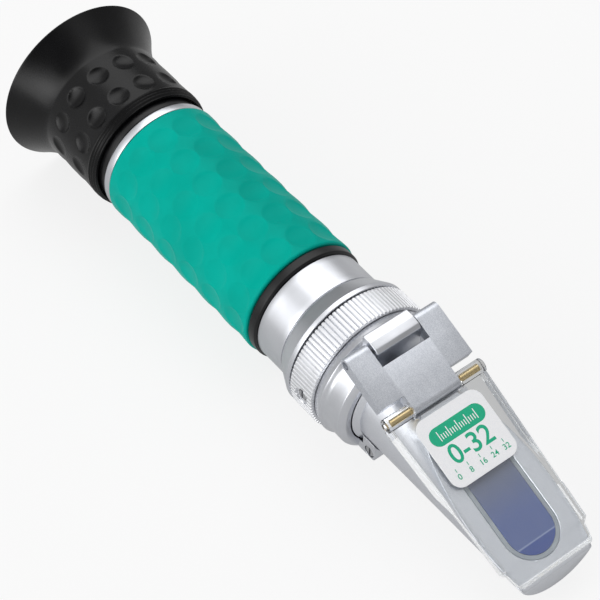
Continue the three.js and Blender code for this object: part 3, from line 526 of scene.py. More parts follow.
# %% [markdown]
# The calibration ring has ninety-six straight grooves, narrow and dark between broad, slightly crowned
# lands. Its edges are nearly sharp, so the front edge shows a fine saw-tooth. The round pocket for its
# set screw is cut further below, once there is a tool for that.

# %% The knurled ring
TEETH = 96
GROOVE_DEPTH, GROOVE_SHARE, CROWN = 0.5, 0.24, 0.06
ring_corners = [[16.8, 14.8], [16.8, 15.95], [17.1, 16.27], [23.86, 16.27], [24.0, 16.13], [24.0, 14.8]]
ring_line = resampled(rounded(ring_corners, [0.1, 0.05, 0.08, 0.08, 0.05, 0.1], steps=3), 1.8)
land_shares = np.array([0.0, 0.08, 0.16, 0.24, 0.5, 0.76, 0.84, 0.92])
tooth_angles = ((np.arange(TEETH)[:, None] + land_shares) * 2 * np.pi / TEETH).ravel()


def knurl_relief(x, r, a):
    """With u the distance to the nearest groove in pitches, a groove sinks by its depth times
    1 - u / 0.24, and a land by the crown times (1 - 2 u) squared."""
    turn = a * TEETH / (2 * np.pi)
    u = np.abs(turn - np.round(turn))
    groove = GROOVE_DEPTH * np.clip(1 - u / GROOVE_SHARE, 0, 1)
    return np.where(r > 15.9, np.maximum(groove, CROWN * (1 - 2 * u) ** 2), 0)


knurled_ring = skin(revolved(ring_line, tooth_angles, knurl_relief), crease=28)
print("knurled ring:", len(knurled_ring.polygons), "faces before its pocket is cut")

# %% [markdown]
# Many pieces are flat shapes with some thickness: screws, pins, the hinge knuckle, the label. For these
# a closed outline is carried through a stack of heights, set in a little at the top and bottom so that
# the edge is a quarter round. The same stack makes tools that cut pockets and holes with Blender's
# Boolean modifier, of which only the finished mesh is kept.

# %% Outlines given a thickness
def raised(plan, heights):
    """Each loop of the plan gets its own height as a third coordinate."""
    level = np.broadcast_to(np.asarray(heights, float)[:, None, None], (*plan.shape[:2], 1))
    return np.concatenate([plan, level], axis=-1)


def stacked(outline, insets, heights):
    """Each loop is the outline moved inwards by its inset along its own normal, at its height. The normal
    at a point is square to the line between its two neighbours. A middle point closes each end."""
    tangent = np.roll(outline, -1, axis=0) - np.roll(outline, 1, axis=0)
    inward = np.stack([-tangent[:, 1], tangent[:, 0]], axis=1)
    inward = inward / np.linalg.norm(inward, axis=1, keepdims=True)
    u, v = outline.T
    if (u * np.roll(v, -1) - v * np.roll(u, -1)).sum() < 0:
        inward = -inward
    loops = outline + np.asarray(insets, float)[:, None, None] * inward
    middle = np.broadcast_to(outline.mean(axis=0), (1, *outline.shape))
    return raised(np.concatenate([middle, loops, middle]), [heights[0], *heights, heights[-1]])


def slab(outline, low, high):
    """A stack with upright sides and sharp edges."""
    return stacked(outline, [0, 0], [low, high])


def quarter_round(edge, count):
    """At the turn t the surface lies e (1 - sin t) in from the side and e (1 - cos t) from the face."""
    t = np.linspace(0, np.pi / 2, count)
    return edge * (1 - np.sin(t)), edge * (1 - np.cos(t))


def pillow(outline, low, high, edge):
    """A stack whose edges are quarter rounds. A loop just inside each face keeps the face itself flat to
    the light."""
    inset, rise = quarter_round(edge, 5)
    inset, rise = np.array([1.3 * edge + 0.02, *inset]), np.array([0, *rise])
    return stacked(outline, [*inset, *inset[::-1]], [*(low + rise), *(high - rise[::-1])])


def circle(u, v, radius, count=48):
    a = round_the_axis(count)
    return np.stack([u + radius * np.cos(a), v + radius * np.sin(a)], axis=1)


def crosswise(points):
    """A stack drawn in X and Z, with its height along Y."""
    return points[..., [0, 2, 1]]


def net_of(points):
    """A stack as a mesh. The middle points shut its two ends."""
    return skin(points, closed_rows=False)


def across(outline, low, high, edge=0.0, laid=np.asarray):
    """A flat shape in X and Z with its thickness along Y, sharp or with rounded edges. With on_ramp it is
    laid on the slope of the prism box."""
    stack = pillow(outline, low, high, edge) if edge else slab(outline, low, high)
    return net_of(laid(crosswise(stack)))


def finished_mesh(thing):
    """The mesh of an object once its modifiers have run, or that of a text."""
    bpy.context.view_layer.update()
    return bpy.data.meshes.new_from_object(thing.evaluated_get(bpy.context.evaluated_depsgraph_get()))


def worked(mesh, steps, crease=30):
    """Modifiers run one after the other, each given by its type and settings. A mesh among the settings
    is the tool of a Boolean. Only the resulting mesh is kept."""
    helpers = [placed("blank", mesh)]
    for kind, settings in steps:
        modifier = helpers[0].modifiers.new(kind.lower(), kind)
        for key, value in settings.items():
            if isinstance(value, bpy.types.Mesh):
                value = placed("tool", value)
                helpers.append(value)
            setattr(modifier, key, value)
    result = tidied(finished_mesh(helpers[0]), crease, weld=False)
    for helper in helpers:
        bpy.data.objects.remove(helper)
    return result


def booleans(operation, tools):
    return [("BOOLEAN", {"operation": operation, "solver": "MANIFOLD", "object": tool}) for tool in tools]


def cut_by(*tools):
    return booleans("DIFFERENCE", tools)


def joined_with(*others):
    return booleans("UNION", others)


# %% [markdown]
# The set screw sits in a round pocket that is milled through the knurl on the side of the two screws,
# and the screw's own hole goes deeper. The slot of each screw is cut with a flat tool, which stands for
# the slitting saw.

# %% The ring's pocket and the two slotted screws
RING_SCREW, BODY_SCREW, SLOT_WIDTH = (20.69, 0.0), (36.35, -7.95), 0.52
pocket_tools = [across(circle(*RING_SCREW, radius), -18, floor_y)
                for radius, floor_y in ((2.0, -15.72), (1.35, -14.85))]
stand_in("knurled_ring", worked(knurled_ring, cut_by(*pocket_tools), crease=28), knurl_aluminium,
         "calibration_ring", "bare_aluminium", "calibration_ring")


def slotted_screw(x, z, radius, outer, inner, slot_depth):
    """A short round pillow along Y, with a straight slot cut right across its outer end."""
    plug = across(circle(x, z, radius), outer, inner, edge=0.12)
    side, end = SLOT_WIDTH / 2, 3
    slot = np.array([[x - side, z - end], [x + side, z - end], [x + side, z + end], [x - side, z + end]])
    return worked(plug, cut_by(across(slot, outer - 1, outer + slot_depth)))


ring_screw = slotted_screw(*RING_SCREW, radius=1.2, outer=-15.87, inner=-14.95, slot_depth=0.45)
body_screw = slotted_screw(*BODY_SCREW, radius=1.3, outer=-10.25, inner=-9.15, slot_depth=0.5)
stand_in("ring_screw", ring_screw, steel, "ring_screw", "steel", "ring_set_screw")
stand_in("body_screw", body_screw, steel, "body_screw", "steel", "calibration_screw")

# %% [markdown]
# The front body has a flange against the knurled ring, a neck, a hinge knuckle on top and a small lug at
# the side for the second screw. The turned part, the knuckle and the lug are separate simple shapes,
# joined by a Boolean so that the seams between them are true intersections. The wall of the screw hole
# is so thin that the lug's face is drawn as one net from the hole to the edge. An upright hole in the
# turned part leaves the pin of the adjuster its way when the knurled ring is turned.

# %% The front body
def front_body_outline():
    """The flange widens away from the ring, and then the radius falls as 15.1 + 0.76 (1 - t) squared."""
    t = np.linspace(0, 1, 10)[1:]
    hollow = np.stack([26.5 + 1.3 * t, 15.1 + 0.76 * (1 - t) ** 2], axis=1)
    corners = np.concatenate([
        [[9.9, 11.9], [9.9, 12.9], [16.8, 12.9], [16.8, 14.4], [22.42, 14.4], [22.42, 13.9], [23.82, 13.9],
         [23.82, 14.4], [24.15, 14.4], [24.15, 15.3], [26.3, 15.94]],
        hollow,
        [[31.55, 15.1], [32.75, 13.9], [32.75, 12.5], [28.2, 12.5], [28.2, 8.5], [25.7, 8.5], [25.7, 11.9]],
    ])
    radii = np.zeros(len(corners))
    radii[[9, 10]] = 0.1, 0.15
    radii[[-7, -6, -5]] = 0.4, 0.2, 0.15
    return resampled(rounded(corners, radii, steps=4), 1.2)


turned_body = turned(front_body_outline(), 240)
knuckle_corners = [[27.78, 12.8], [32.77, 12.8], [32.77, 17.9], [32.1, 18.78], [30.3, 19.3], [27.78, 19.3]]
knuckle_side = resampled(rounded(knuckle_corners, [0.4, 0.4, 0.5, 0.5, 0.12, 0.5], steps=5), 0.7)
knuckle = across(knuckle_side, -5.8, 5.8, edge=0.25)

LUG_MIDDLE, LUG_HALF = np.array([35.3, -7.0]), np.array([2.85, 2.6])
LUG_FACE, LUG_EDGE = -10.4, 0.1


def lug_points(count=96):
    """The block's loops have the half widths over (|cos a|^9 + |sin a|^9)^(1/9), which is a square with
    round corners, and the hole's loops are circles. The net starts at the floor of the hole."""
    a = round_the_axis(count)
    ray = np.stack([np.cos(a), np.sin(a)], axis=1)
    square = ray / (np.abs(ray) ** 9).sum(axis=1, keepdims=True) ** (1 / 9)
    edge, rise = quarter_round(LUG_EDGE, 4)
    hole = [BODY_SCREW + k * ray for k in (0.0, 1.45, 1.45, 1.48)]
    block = [LUG_MIDDLE + (LUG_HALF - k) * square for k in (*edge, *edge[::-1])]
    plan = np.stack([*hole, *block, np.full((count, 2), LUG_MIDDLE)])
    return raised(plan, [-5, -5, LUG_FACE + 0.03, LUG_FACE, *(LUG_FACE + rise), *(-1 - rise[::-1]), -1])


lug_room_corners = [[30, 0], [30, 12.5], [34.3, 12.5], [34.3, 11.25], [41, 11.25], [41, 0]]
lug_room = turned(rounded(lug_room_corners, 0, steps=1), 120)
lug = worked(net_of(crosswise(lug_points())), cut_by(lug_room))
bored_knuckle = worked(knuckle, cut_by(across(circle(30.276, 16.8, 1.0), -8, 8)))
adjuster_way = net_of(slab(circle(18.2, 0, 1.4), 5, 17))
front_mesh = worked(turned_body, cut_by(adjuster_way) + joined_with(bored_knuckle, lug))
stand_in("front_housing", front_mesh, bare_aluminium, "housing", "bare_aluminium", "front_body")

# %% [markdown]
# The prism box is a round bar planed off at twenty-two degrees, with a flat end. Each cross-section is a
# circle with its top cut off level, and a small arc rounds the cut edge. So the whole box is a function
# of two numbers: how far along the axis, and how far round the section. The pocket for the seal and the
# deep room for the glass are cut afterwards.

# %% The prism box
SLOPE = np.radians(22.0017)
TIP_X, TIP_TOP = 83.8, -5.55


def on_ramp(points):
    """Ramp coordinates (s, y, n): s down the slope, 0 at the tip, and n square to it. In the frame they lie
    at x = 83.8 + s cos A + n sin A and z = -5.55 - s sin A + n cos A."""
    s, y, n = np.moveaxis(points, -1, 0)
    x = TIP_X + s * np.cos(SLOPE) + n * np.sin(SLOPE)
    z = TIP_TOP - s * np.sin(SLOPE) + n * np.cos(SLOPE)
    return np.stack([x, y, z], axis=-1)


def planed_sections(x, radius, top, share, edge=0.3):
    """A circle of radius R cut level at the height h. The edge arc of radius e touches both: its centre
    lies at z = h - e and y = sqrt((R - e) squared - z squared). Where h is above the circle nothing is
    cut. The share draws a section in towards its own middle, to close the two ends."""
    x, radius, top, share = (np.asarray(k, float)[:, None] for k in (x, radius, top, share))
    centre_z = np.minimum(top, radius) - edge
    centre_y = np.sqrt(np.maximum((radius - edge) ** 2 - centre_z ** 2, 0))
    turn = np.arctan2(centre_y, centre_z)
    along = np.linspace(0, 1, 14)[None, :]
    edge_turn = np.linspace(0, 1, 6)[None, 1:] * turn
    big_turn = turn + np.linspace(0, 1, 110)[None, 1:-1] * (2 * np.pi - 2 * turn)
    y = [centre_y * along, centre_y + edge * np.sin(edge_turn), radius * np.sin(big_turn)]
    z = [centre_z + edge + 0 * along, centre_z + edge * np.cos(edge_turn), radius * np.cos(big_turn)]
    y, z = np.concatenate(y, axis=1), np.concatenate(z, axis=1)
    again = slice(17, 0, -1)  # the points of the level top and of its edge, mirrored to the other side
    y = np.concatenate([y, -y[:, again]], axis=1)
    z = np.concatenate([z, z[:, again]], axis=1)
    middle = (np.minimum(top, radius) - radius) / 2
    return np.stack([np.broadcast_to(x, y.shape), share * y, middle + share * (z - middle)], axis=-1)


def prism_box_points():
    """The top falls as tan A along the axis, and lies 1.23 deeper under the hinge link. The collar at the
    rear and the fine edge of the flat end are steps in the radius."""
    x = np.concatenate([
        [28.5, 28.5, 28.62, 28.8, 32.8, 33.0, 34.0, 34.02], np.arange(34.5, 45, 0.5), [45.14, 45.6],
        np.arange(46, 83.5, 0.75), [83.6, 83.74, 83.8, 83.8],
    ])
    radius = np.interp(x, [28.5, 28.62, 28.8, 32.8, 34.0, 34.02, 83.6, 83.74, 83.8],
                       [11.9, 12.11, 12.2, 12.2, 11.1, 10.95, 10.95, 10.89, 10.75])
    ramp_top = TIP_TOP + (TIP_X - x) * np.tan(SLOPE)
    top = np.where(x > 45.4, ramp_top, ramp_top - 1.23 / np.cos(SLOPE))
    top = top - np.interp(x, [83.6, 83.74, 83.8], [0, 0.06, 0.2])
    share = np.ones(len(x))
    share[[0, -1]] = 0
    return planed_sections(x, radius, top, share)


def stadium(start, end, half, count=28):
    """Two half circles joined by straight sides. The one at the end is (end - half + half cos t,
    half sin t), and the one at the start is its mirror image."""
    t = np.linspace(-np.pi / 2, np.pi / 2, count)
    nose = np.stack([end - half + half * np.cos(t), half * np.sin(t)], axis=1)
    tail = np.stack([start + half - half * np.cos(t), -half * np.sin(t)], axis=1)
    return np.concatenate([nose, tail])


def glass_bottom(points, floor):
    """The glass ends on a level floor at z = floor, which is n = (floor + 5.55 + s sin A) / cos A."""
    s, y, n = np.moveaxis(points, -1, 0)
    level = (floor - TIP_TOP + s * np.sin(SLOPE)) / np.cos(SLOPE)
    return np.stack([s, y, np.where(n < -2, level, n)], axis=-1)


pocket = on_ramp(stacked(stadium(-39.77, -3.43, 6.59), [0, 0, -0.14, -0.14], [-1.8, -0.14, 0, 2]))
glass_room = glass_bottom(slab(stadium(-38.91, -4.29, 5.73), -9, -1), -7.8)
tunnel = rounded([[25, 0], [25, 6.4], [51.0, 6.4], [51.0, 0]], 0, steps=1)
box_tools = net_of(pocket), net_of(on_ramp(glass_room)), turned(tunnel, 60)
box_mesh = worked(net_of(prism_box_points()), cut_by(*box_tools))
stand_in("prism_housing", box_mesh, box_aluminium, "housing", "bare_aluminium", "prism_box")

# %% [markdown]
# The glass of the prism is set in a grey seal. Seen from above, its blackened inner faces make it look like
# smoky blue glass: greyer under the label, bluer towards the tip, with a painted highlight, a faint light
# line, where the lower polished face begins. The colour follows the distance down the slope, in object
# space.

# %% Prism glass and its seal
def prism_glass_finish():
    tree = Finish("smoky_prism_glass")
    downhill = (float(np.cos(SLOPE)), 0.0, -float(np.sin(SLOPE)))
    down = tree.reach(tree.place(), downhill) - float(TIP_X * np.cos(SLOPE) - TIP_TOP * np.sin(SLOPE))
    depth = tree.mix(tree.fade(down, -26, -12), tone(114, 121, 140), tone(86, 104, 158))
    past = tree.mix(tree.fade(down, -7.5, -7.2), depth, tone(52, 78, 150))
    # Painted highlight: a thin light line where the lower polished face begins.
    line = tree.fade(down, -7.75, -7.45) * (1 - tree.fade(down, -7.45, -7.15))
    dust = tree.fade(tree.noise(1.6, detail=5), 0.66, 0.74)
    return tree.done(tree.principled(
        Base_Color=tree.mix(0.55 * line + 0.12 * dust, past, tone(176, 188, 215)),
        Roughness=0.05 + 0.1 * dust,
        IOR=1.6,
        Coat_Weight=0.4,
    ))


prism_glass = prism_glass_finish()
glass = glass_bottom(stacked(stadium(-38.75, -4.45, 5.57), [0, 0, 0.08, 0.3], [-9, -0.1, 0, 0]), -7.5)
stand_in("prism_body", net_of(on_ramp(glass)), prism_glass, "housing", "prism_glass", "main_prism")

seal_insets = [0.06, 0, 0, 0.1, 0.86, 0.96, 0.96, 0.9]
seal_heights = [-1.5, -1.44, -0.16, -0.06, -0.06, -0.13, -1.44, -1.5]
seal_rows = stacked(stadium(-39.74, -3.46, 6.56, count=40), seal_insets, seal_heights)[1:-1]
stand_in("window_seal", skin(on_ramp(seal_rows)), grey_rubber, "housing", "grey_rubber", "prism_seal")

# %% [markdown]
# The hinge link is a thick cast plate with a notch for the knuckle and a tongue between the ears of the
# clear plate. Its ends are rounded about the two pins. It is a grid in (s, y) of which some cells are
# solid: their tops and bottoms follow the rounded side profile, and walls close every border between a
# solid cell and an empty one. A Bevel modifier then takes off the sharp edges.

# %% The hinge link
LINK_PIN, PLATE_PIN, PIN_RISE, HALF_THICK = -58.0, -43.1, 0.67, 1.6
NOTCH_END, TONGUE_START = -53.5, -46.25
LINK_HALF, NOTCH_HALF, TONGUE_HALF = 12.15, 6.25, 6.1


def cells_to_mesh(s, y, top, bottom, solid):
    """Point (i, j) exists twice, at n = top(s_i) and n = bottom(s_i). Each solid cell gives two faces, and
    each side that has no solid neighbour gives a wall."""
    count = len(s) * len(y)
    index = np.arange(count).reshape(len(s), len(y))
    grid_s, grid_y = np.meshgrid(s, y, indexing="ij")
    up = np.stack([grid_s, grid_y, np.broadcast_to(top[:, None], grid_s.shape)], axis=-1)
    down = np.stack([grid_s, grid_y, np.broadcast_to(bottom[:, None], grid_s.shape)], axis=-1)
    points = on_ramp(np.concatenate([up.reshape(-1, 3), down.reshape(-1, 3)]))
    ring = np.pad(solid, 1)
    corner = [index[:-1, :-1], index[1:, :-1], index[1:, 1:], index[:-1, 1:]]
    faces = [np.stack([k[solid] for k in corner], axis=1),
             np.stack([k[solid] + count for k in corner[::-1]], axis=1)]
    outside = [ring[1:-1, :-2], ring[2:, 1:-1], ring[1:-1, 2:], ring[:-2, 1:-1]]
    for k in range(4):
        border = solid & ~outside[k]
        first, last = corner[k][border], corner[(k + 1) % 4][border]
        faces.append(np.stack([last, first, first + count, last + count], axis=1))
    return tidied(mesh_from(points, np.concatenate(faces)), 30)


def link_mesh():
    """Past each pin the half thickness falls as sqrt(1.6 squared - distance squared)."""
    t = np.linspace(0, np.pi / 2, 13)
    rear = LINK_PIN - HALF_THICK * np.cos(t)
    front = PLATE_PIN + HALF_THICK * np.sin(t)
    s = np.concatenate([rear, [NOTCH_END, TONGUE_START], front])
    past = np.maximum(np.maximum(LINK_PIN - s, s - PLATE_PIN), 0)
    half = np.sqrt(np.maximum(HALF_THICK ** 2 - past ** 2, 0))
    y = np.array([-LINK_HALF, -NOTCH_HALF, -TONGUE_HALF, TONGUE_HALF, NOTCH_HALF, LINK_HALF])
    mid_s, mid_y = np.meshgrid((s[:-1] + s[1:]) / 2, np.abs(y[:-1] + y[1:]) / 2, indexing="ij")
    arms = (mid_s < NOTCH_END) & (mid_y > NOTCH_HALF)
    middle = (mid_s > NOTCH_END) & (mid_s < TONGUE_START)
    tongue = (mid_s > TONGUE_START) & (mid_y < TONGUE_HALF)
    blank = cells_to_mesh(s, y, PIN_RISE + half, PIN_RISE - half, arms | middle | tongue)
    soft = worked(blank, [("BEVEL", {
        "width": 0.36 * MM, "segments": 4, "limit_method": "ANGLE", "angle_limit": np.radians(50),
        "harden_normals": False,
    })])
    holes = [across(circle(place, PIN_RISE, radius), -14, 14, laid=on_ramp)
             for place, radius in ((LINK_PIN, 0.95), (PLATE_PIN, 0.6))]
    return worked(soft, cut_by(*holes))


stand_in("hinge_plate", link_mesh(), dull_aluminium, "link", "dull_aluminium", "hinge_link")


def hinge_pin(place, radius, half):
    return across(circle(place, PIN_RISE, radius, 32), -half, half, edge=0.15, laid=on_ramp)


stand_in("rear_hinge_pin", hinge_pin(LINK_PIN, 0.85, 11.65), steel, "link", "steel", "link_pin")
stand_in("front_hinge_pin", hinge_pin(PLATE_PIN, 0.54, 11.7), brass, "link", "brass", "plate_pin")

# %% [markdown]
# The daylight plate is clear moulded plastic. It spreads the drop into a film and lets daylight in, so
# it must look like clear plastic and not like a tinted sheet: the shader refracts, and lets shadow rays
# and soft light pass straight through, so that the metal below it stays bright. The lenses are glass with
# a little dust on it. The sticker is smooth paper, whose fibres show only as a faint unevenness.

# %% Clear plastic, lens glass and the sticker
def clear_plastic_finish(name, clearness, rough):
    tree = Finish(name)
    scuffs = tree.fade(tree.noise(1.2, detail=6), 0.56, 0.75)
    body = tree.principled(
        Base_Color=(0.965, 0.975, 0.98, 1.0),
        Roughness=rough + 0.06 * scuffs,
        IOR=1.45,
        Transmission_Weight=clearness,
        Normal=tree.bump(0.004 * tree.noise(0.5, detail=2)),
    )
    straight_through = tree.ray("Shadow").at_least(tree.ray("Diffuse"))
    return tree.done(tree.mixed_shaders(straight_through, body, tree.see_through(0.93, 0.94, 0.95)))


def lens_glass_finish():
    tree = Finish("lens_glass")
    dust = tree.fade(tree.noise(2.5, detail=5), 0.62, 0.74)
    return tree.done(tree.principled(
        Base_Color=tree.mix(0.2 * dust, (0.86, 0.93, 0.97, 1.0), (0.7, 0.7, 0.68, 1.0)),
        Roughness=0.03 + 0.12 * dust,
        IOR=1.52,
        Transmission_Weight=0.9,
        Coat_Weight=0.6,
    ))


def paper_finish(name, low, high, rough):
    tree = Finish(name)
    fibre = tree.noise(4, detail=4)
    return tree.done(tree.principled(
        Base_Color=tree.mix(tree.fade(fibre, 0.35, 0.65), low, high),
        Roughness=rough + 0.1 * fibre,
        Normal=tree.bump(0.002 * fibre),
    ))


clear_plastic = clear_plastic_finish("clear_plate_plastic", clearness=1.0, rough=0.02)
moulded_edge = clear_plastic_finish("cloudy_plate_edge", clearness=0.3, rough=0.2)
optical_glass = lens_glass_finish()
white_sticker = paper_finish("sticker_paper", tone(246, 247, 250), tone(252, 252, 254), rough=0.35)
green_ink = paper_finish("sticker_green_ink", tone(0, 172, 130), tone(2, 182, 138), rough=0.3)
print("clear and printed finishes:", clear_plastic.name, optical_glass.name, white_sticker.name)

# %% [markdown]
# The plate's cross-section is a shallow channel. Its top has a raised bead on each side near the tip,
# for the fingers, and side skirts hang down along the box near the hinge. All of these change along the
# length, so the section's corners are functions of s, and every section is rounded at the same time.

# %% The daylight plate
PLATE_TOP, PLATE_UNDER, TIP_ROUND = 1.25, 0.25, 0.25


def swell(value, start, end):
    """0 before the start, 1 after the end, and 3 t^2 - 2 t^3 between."""
    t = np.clip((value - start) / (end - start), 0, 1)
    return t * t * (3 - 2 * t)


def plate_sections():
    """The half width follows the plate's plan. The bead rises 0.48 between s = -14 and -5.5, and the
    skirts hang 2 down and fade out round s = -23. In the last 0.25 at the tip all faces draw in by a
    quarter round, and the end leans back by as much as it goes down, so that it catches the light
    through the top."""
    s = np.concatenate([
        np.arange(-43.1, -41.1, 0.2), np.arange(-41.05, -27, 1.0), np.arange(-27, -19, 0.4),
        np.arange(-19, -15, 1.0), np.arange(-15, -13, 0.15), np.arange(-13, -6, 1.0),
        np.arange(-6, -4.3, 0.08), np.arange(-4.2, -2, 0.4), np.arange(-1.9, -0.85, 0.15),
        -0.8 + TIP_ROUND * np.sin(np.linspace(0, np.pi / 2, 6)),
    ])
    half = np.interp(s, [-43.1, -14, -5.5, -4.6, -0.55], [12.7, 11.65, 11.4, 10.4, 9.55])
    draw = TIP_ROUND - np.sqrt(np.maximum(TIP_ROUND ** 2 - np.maximum(s + 0.8, 0) ** 2, 0))
    half = half - draw - 0.5 * swell(s, -1.3, -0.5) ** 2
    bead = 0.02 + 0.46 * swell(s, -14.3, -13.6) * (1 - swell(s, -5.7, -5.3))
    skirt = 0.03 + 1.97 * (1 - swell(s, -27, -20)) * (0.6 + 0.4 * swell(s, -43.3, -41.9))
    top, under = PLATE_TOP - 0.6 * draw, PLATE_UNDER + 0.6 * draw
    side = np.stack([
        [half - 1.6, top], [half - 1.3, top], [half - 1.1, top + bead], [half, top + bead],
        [half, under - skirt], [half - 0.6, under - skirt], [half - 0.6, under],
    ])
    side = np.moveaxis(side, 2, 0)
    corners = np.concatenate([side, side[:, ::-1] * [-1, 1]], axis=1)
    same = np.ones(len(s))
    radii = [0 * same, 0.3 * bead, 0.3 * bead, 0.22 * same, 0.13 * same, 0.07 * skirt, 0.2 * skirt]
    radii = np.stack(radii, axis=1)
    section = rounded(corners, np.concatenate([radii, radii[:, ::-1]], axis=1), steps=5)
    lean = np.clip((s[:, None] + 2.2) / 1.4, 0, 1) * np.clip(PLATE_TOP - section[..., 1], 0, 1)
    return np.stack([s[:, None] - lean, section[..., 0], section[..., 1]], axis=-1)


def capped(points):
    """A net left open at both ends, whose ends are then closed by one flat face each."""
    mesh = skin(points, closed_rows=False)
    net = bmesh.new()
    net.from_mesh(mesh)
    bmesh.ops.holes_fill(net, edges=[edge for edge in net.edges if edge.is_boundary], sides=0)
    bmesh.ops.recalc_face_normals(net, faces=net.faces)
    net.to_mesh(mesh)
    net.free()
    return tidied(mesh, 30)


def rounded_box(u0, v0, u1, v1, radius, steps):
    return rounded([[u0, v0], [u1, v0], [u1, v1], [u0, v1]], radius, steps)


sheet = capped(on_ramp(plate_sections()))
tongue_room = across(rounded_box(-46, -4, -41.05, 4, 0, steps=1), -6.55, 6.55, laid=on_ramp)
ears = [across(circle(PLATE_PIN, PIN_RISE, 1.6, 64), *span, edge=0.18, laid=on_ramp)
        for span in ((-12.84, -6.4), (6.4, 12.84))]
pin_room = across(circle(PLATE_PIN, PIN_RISE, 0.58), -14, 14, laid=on_ramp)
plate_mesh = worked(sheet, cut_by(tongue_room) + joined_with(*ears) + cut_by(pin_room))
clear_plate = stand_in("clear_plate", plate_mesh, clear_plastic,
                       "plate", "clear_plastic", "daylight_plate")

# %% [markdown]
# A little grease fills the play between the brass pin and its bore. Light then goes straight from the
# plastic to the pin, and the round ear works as a lens that makes the thin pin look as wide as itself.
# So the faces of the bore get a second material that doesn't bend light at all. The narrow edges of
# the plate get a third: there the moulding is a little cloudy, and they look like white bands.

# %% Grease in the bores, cloudy edges
def grease_finish():
    tree = Finish("pin_grease")
    film = tree.noise(1.5, detail=3)
    thick, thin = tree.see_through(0.93, 0.92, 0.9), tree.see_through(0.99, 0.99, 0.98)
    return tree.done(tree.mixed_shaders(film, thick, thin))


clear_plate.data.materials.append(grease_finish())
clear_plate.data.materials.append(moulded_edge)
centre, facing = np.empty((2, len(plate_mesh.polygons), 3))
plate_mesh.polygons.foreach_get("center", centre.ravel())
plate_mesh.polygons.foreach_get("normal", facing.ravel())
pin_axis = on_ramp(np.array([PLATE_PIN, 0.0, PIN_RISE]))
from_pin = np.hypot(*(centre / MM - pin_axis)[:, [0, 2]].T)
sideways = np.abs(facing[:, 1])
downhill = facing @ np.array([np.cos(SLOPE), 0, -np.sin(SLOPE)])
in_bore = from_pin < 0.7
at_edge = (from_pin > 3) & ((sideways > 0.55) | (downhill > 0.3))
which = np.where(in_bore, 1, np.where(at_edge, 2, 0)).astype(np.int32)
plate_mesh.polygons.foreach_set("material_index", which)
print("faces in the two bores:", int(in_bore.sum()), "and at the edges:", int(at_edge.sum()))

# %% [markdown]
# A white sticker lies on the plate. It carries only a plain scale: a green bar with white marks, the
# span of the scale in large numerals, and its main numbers with short marks below them. Text starts as a
# font curve, becomes a mesh, and its points are then laid on the slope: x of the text runs across the
# plate and y of the text runs up to the hinge.

# %% The sticker and its print
LABEL_TOP = 1.50
INK_GAP, INK_THICK = 0.002, 0.015
GREEN_INK = LABEL_TOP + INK_GAP, LABEL_TOP + INK_GAP + INK_THICK
WHITE_INK = LABEL_TOP + 0.02, LABEL_TOP + 0.03
sticker_outline = resampled(rounded_box(-40.2, -8.55, -24.0, 8.55, 2.6, steps=12), 1.5)
sticker = net_of(on_ramp(pillow(sticker_outline, 1.30, LABEL_TOP, 0.07)))
stand_in("sticker", sticker, white_sticker, "plate", "white_sticker", "plate_label")


def lettering(text, size, s, y):
    """The glyph's point (x, y, z) goes to the ramp place (s - y, y0 + x, middle of the ink + z)."""
    curve = bpy.data.curves.new("numerals", "FONT")
    curve.body = text
    curve.size = size
    curve.align_x = "CENTER"
    curve.align_y = "CENTER"
    curve.resolution_u = 5
    curve.extrude = INK_THICK / 2
    curve.offset = 0.012 * size
    holder = placed("numerals", curve)
    mesh = finished_mesh(holder)
    flat = np.empty(len(mesh.vertices) * 3)
    mesh.vertices.foreach_get("co", flat)
    x, up, z = flat.reshape(-1, 3).T
    laid = on_ramp(np.stack([s - up, y + x, LABEL_TOP + INK_THICK / 2 + z + INK_GAP], axis=-1)) * MM
    mesh.vertices.foreach_set("co", laid.ravel())
    bpy.data.objects.remove(holder)
    return mesh


def printed_marks(s, y, length, width, low, high):
    """One small block for each place: its eight corners are the place plus and minus half of each size."""
    rows = np.broadcast_arrays(s, y, length)
    s, y, length = (np.asarray(row, float)[:, None] for row in rows)
    sign_s, sign_y = np.array([[-1, 1, 1, -1], [-1, -1, 1, 1]])
    plan = np.stack([s + sign_s * length / 2, y + sign_y * width / 2], axis=-1)
    levels = [raised(plan, np.full(len(plan), level)) for level in (low, high)]
    points = on_ramp(np.concatenate(levels, axis=1).reshape(-1, 3))
    block = np.array([[3, 2, 1, 0], [4, 5, 6, 7], [0, 1, 5, 4], [1, 2, 6, 5], [2, 3, 7, 6], [3, 0, 4, 7]])
    faces = (block[None] + 8 * np.arange(len(s))[:, None, None]).reshape(-1, 4)
    return mesh_from(points, faces)


def gathered(*meshes):
    """One mesh that holds all of them, so that one ink is one piece."""
    net = bmesh.new()
    for mesh in meshes:
        net.from_mesh(mesh)
    result = bpy.data.meshes.new("piece")
    net.to_mesh(result)
    net.free()
    return tidied(result, 30)


bar_outline = stadium(-7.0, 7.0, 2.05, count=16)[:, ::-1] + [-35.4, 0]
green_bar = net_of(on_ramp(slab(bar_outline, *GREEN_INK)))
HIGHEST, BAR_SPAN, NUMBER_SPAN = 32, 9.6, 12.4
numbers = np.arange(0, HIGHEST + 1, 8)
number_y = (numbers / HIGHEST - 0.5) * NUMBER_SPAN
green_print = gathered(
    green_bar, lettering("0-32", 6.0, -30.5, 0.0),
    printed_marks(np.full(5, -27.75), number_y, 0.8, 0.16, *GREEN_INK),
    *(lettering(str(number), 1.75, -26.25, y) for number, y in zip(numbers, number_y)),
)
values = np.arange(0, HIGHEST + 1, 2)
is_long = values % 8 == 0
mark_s, mark_y = -35.4 + np.where(is_long, 0.0, 0.35), (values / HIGHEST - 0.5) * BAR_SPAN
white_print = printed_marks(mark_s, mark_y, np.where(is_long, 2.3, 1.2), 0.2, *WHITE_INK)
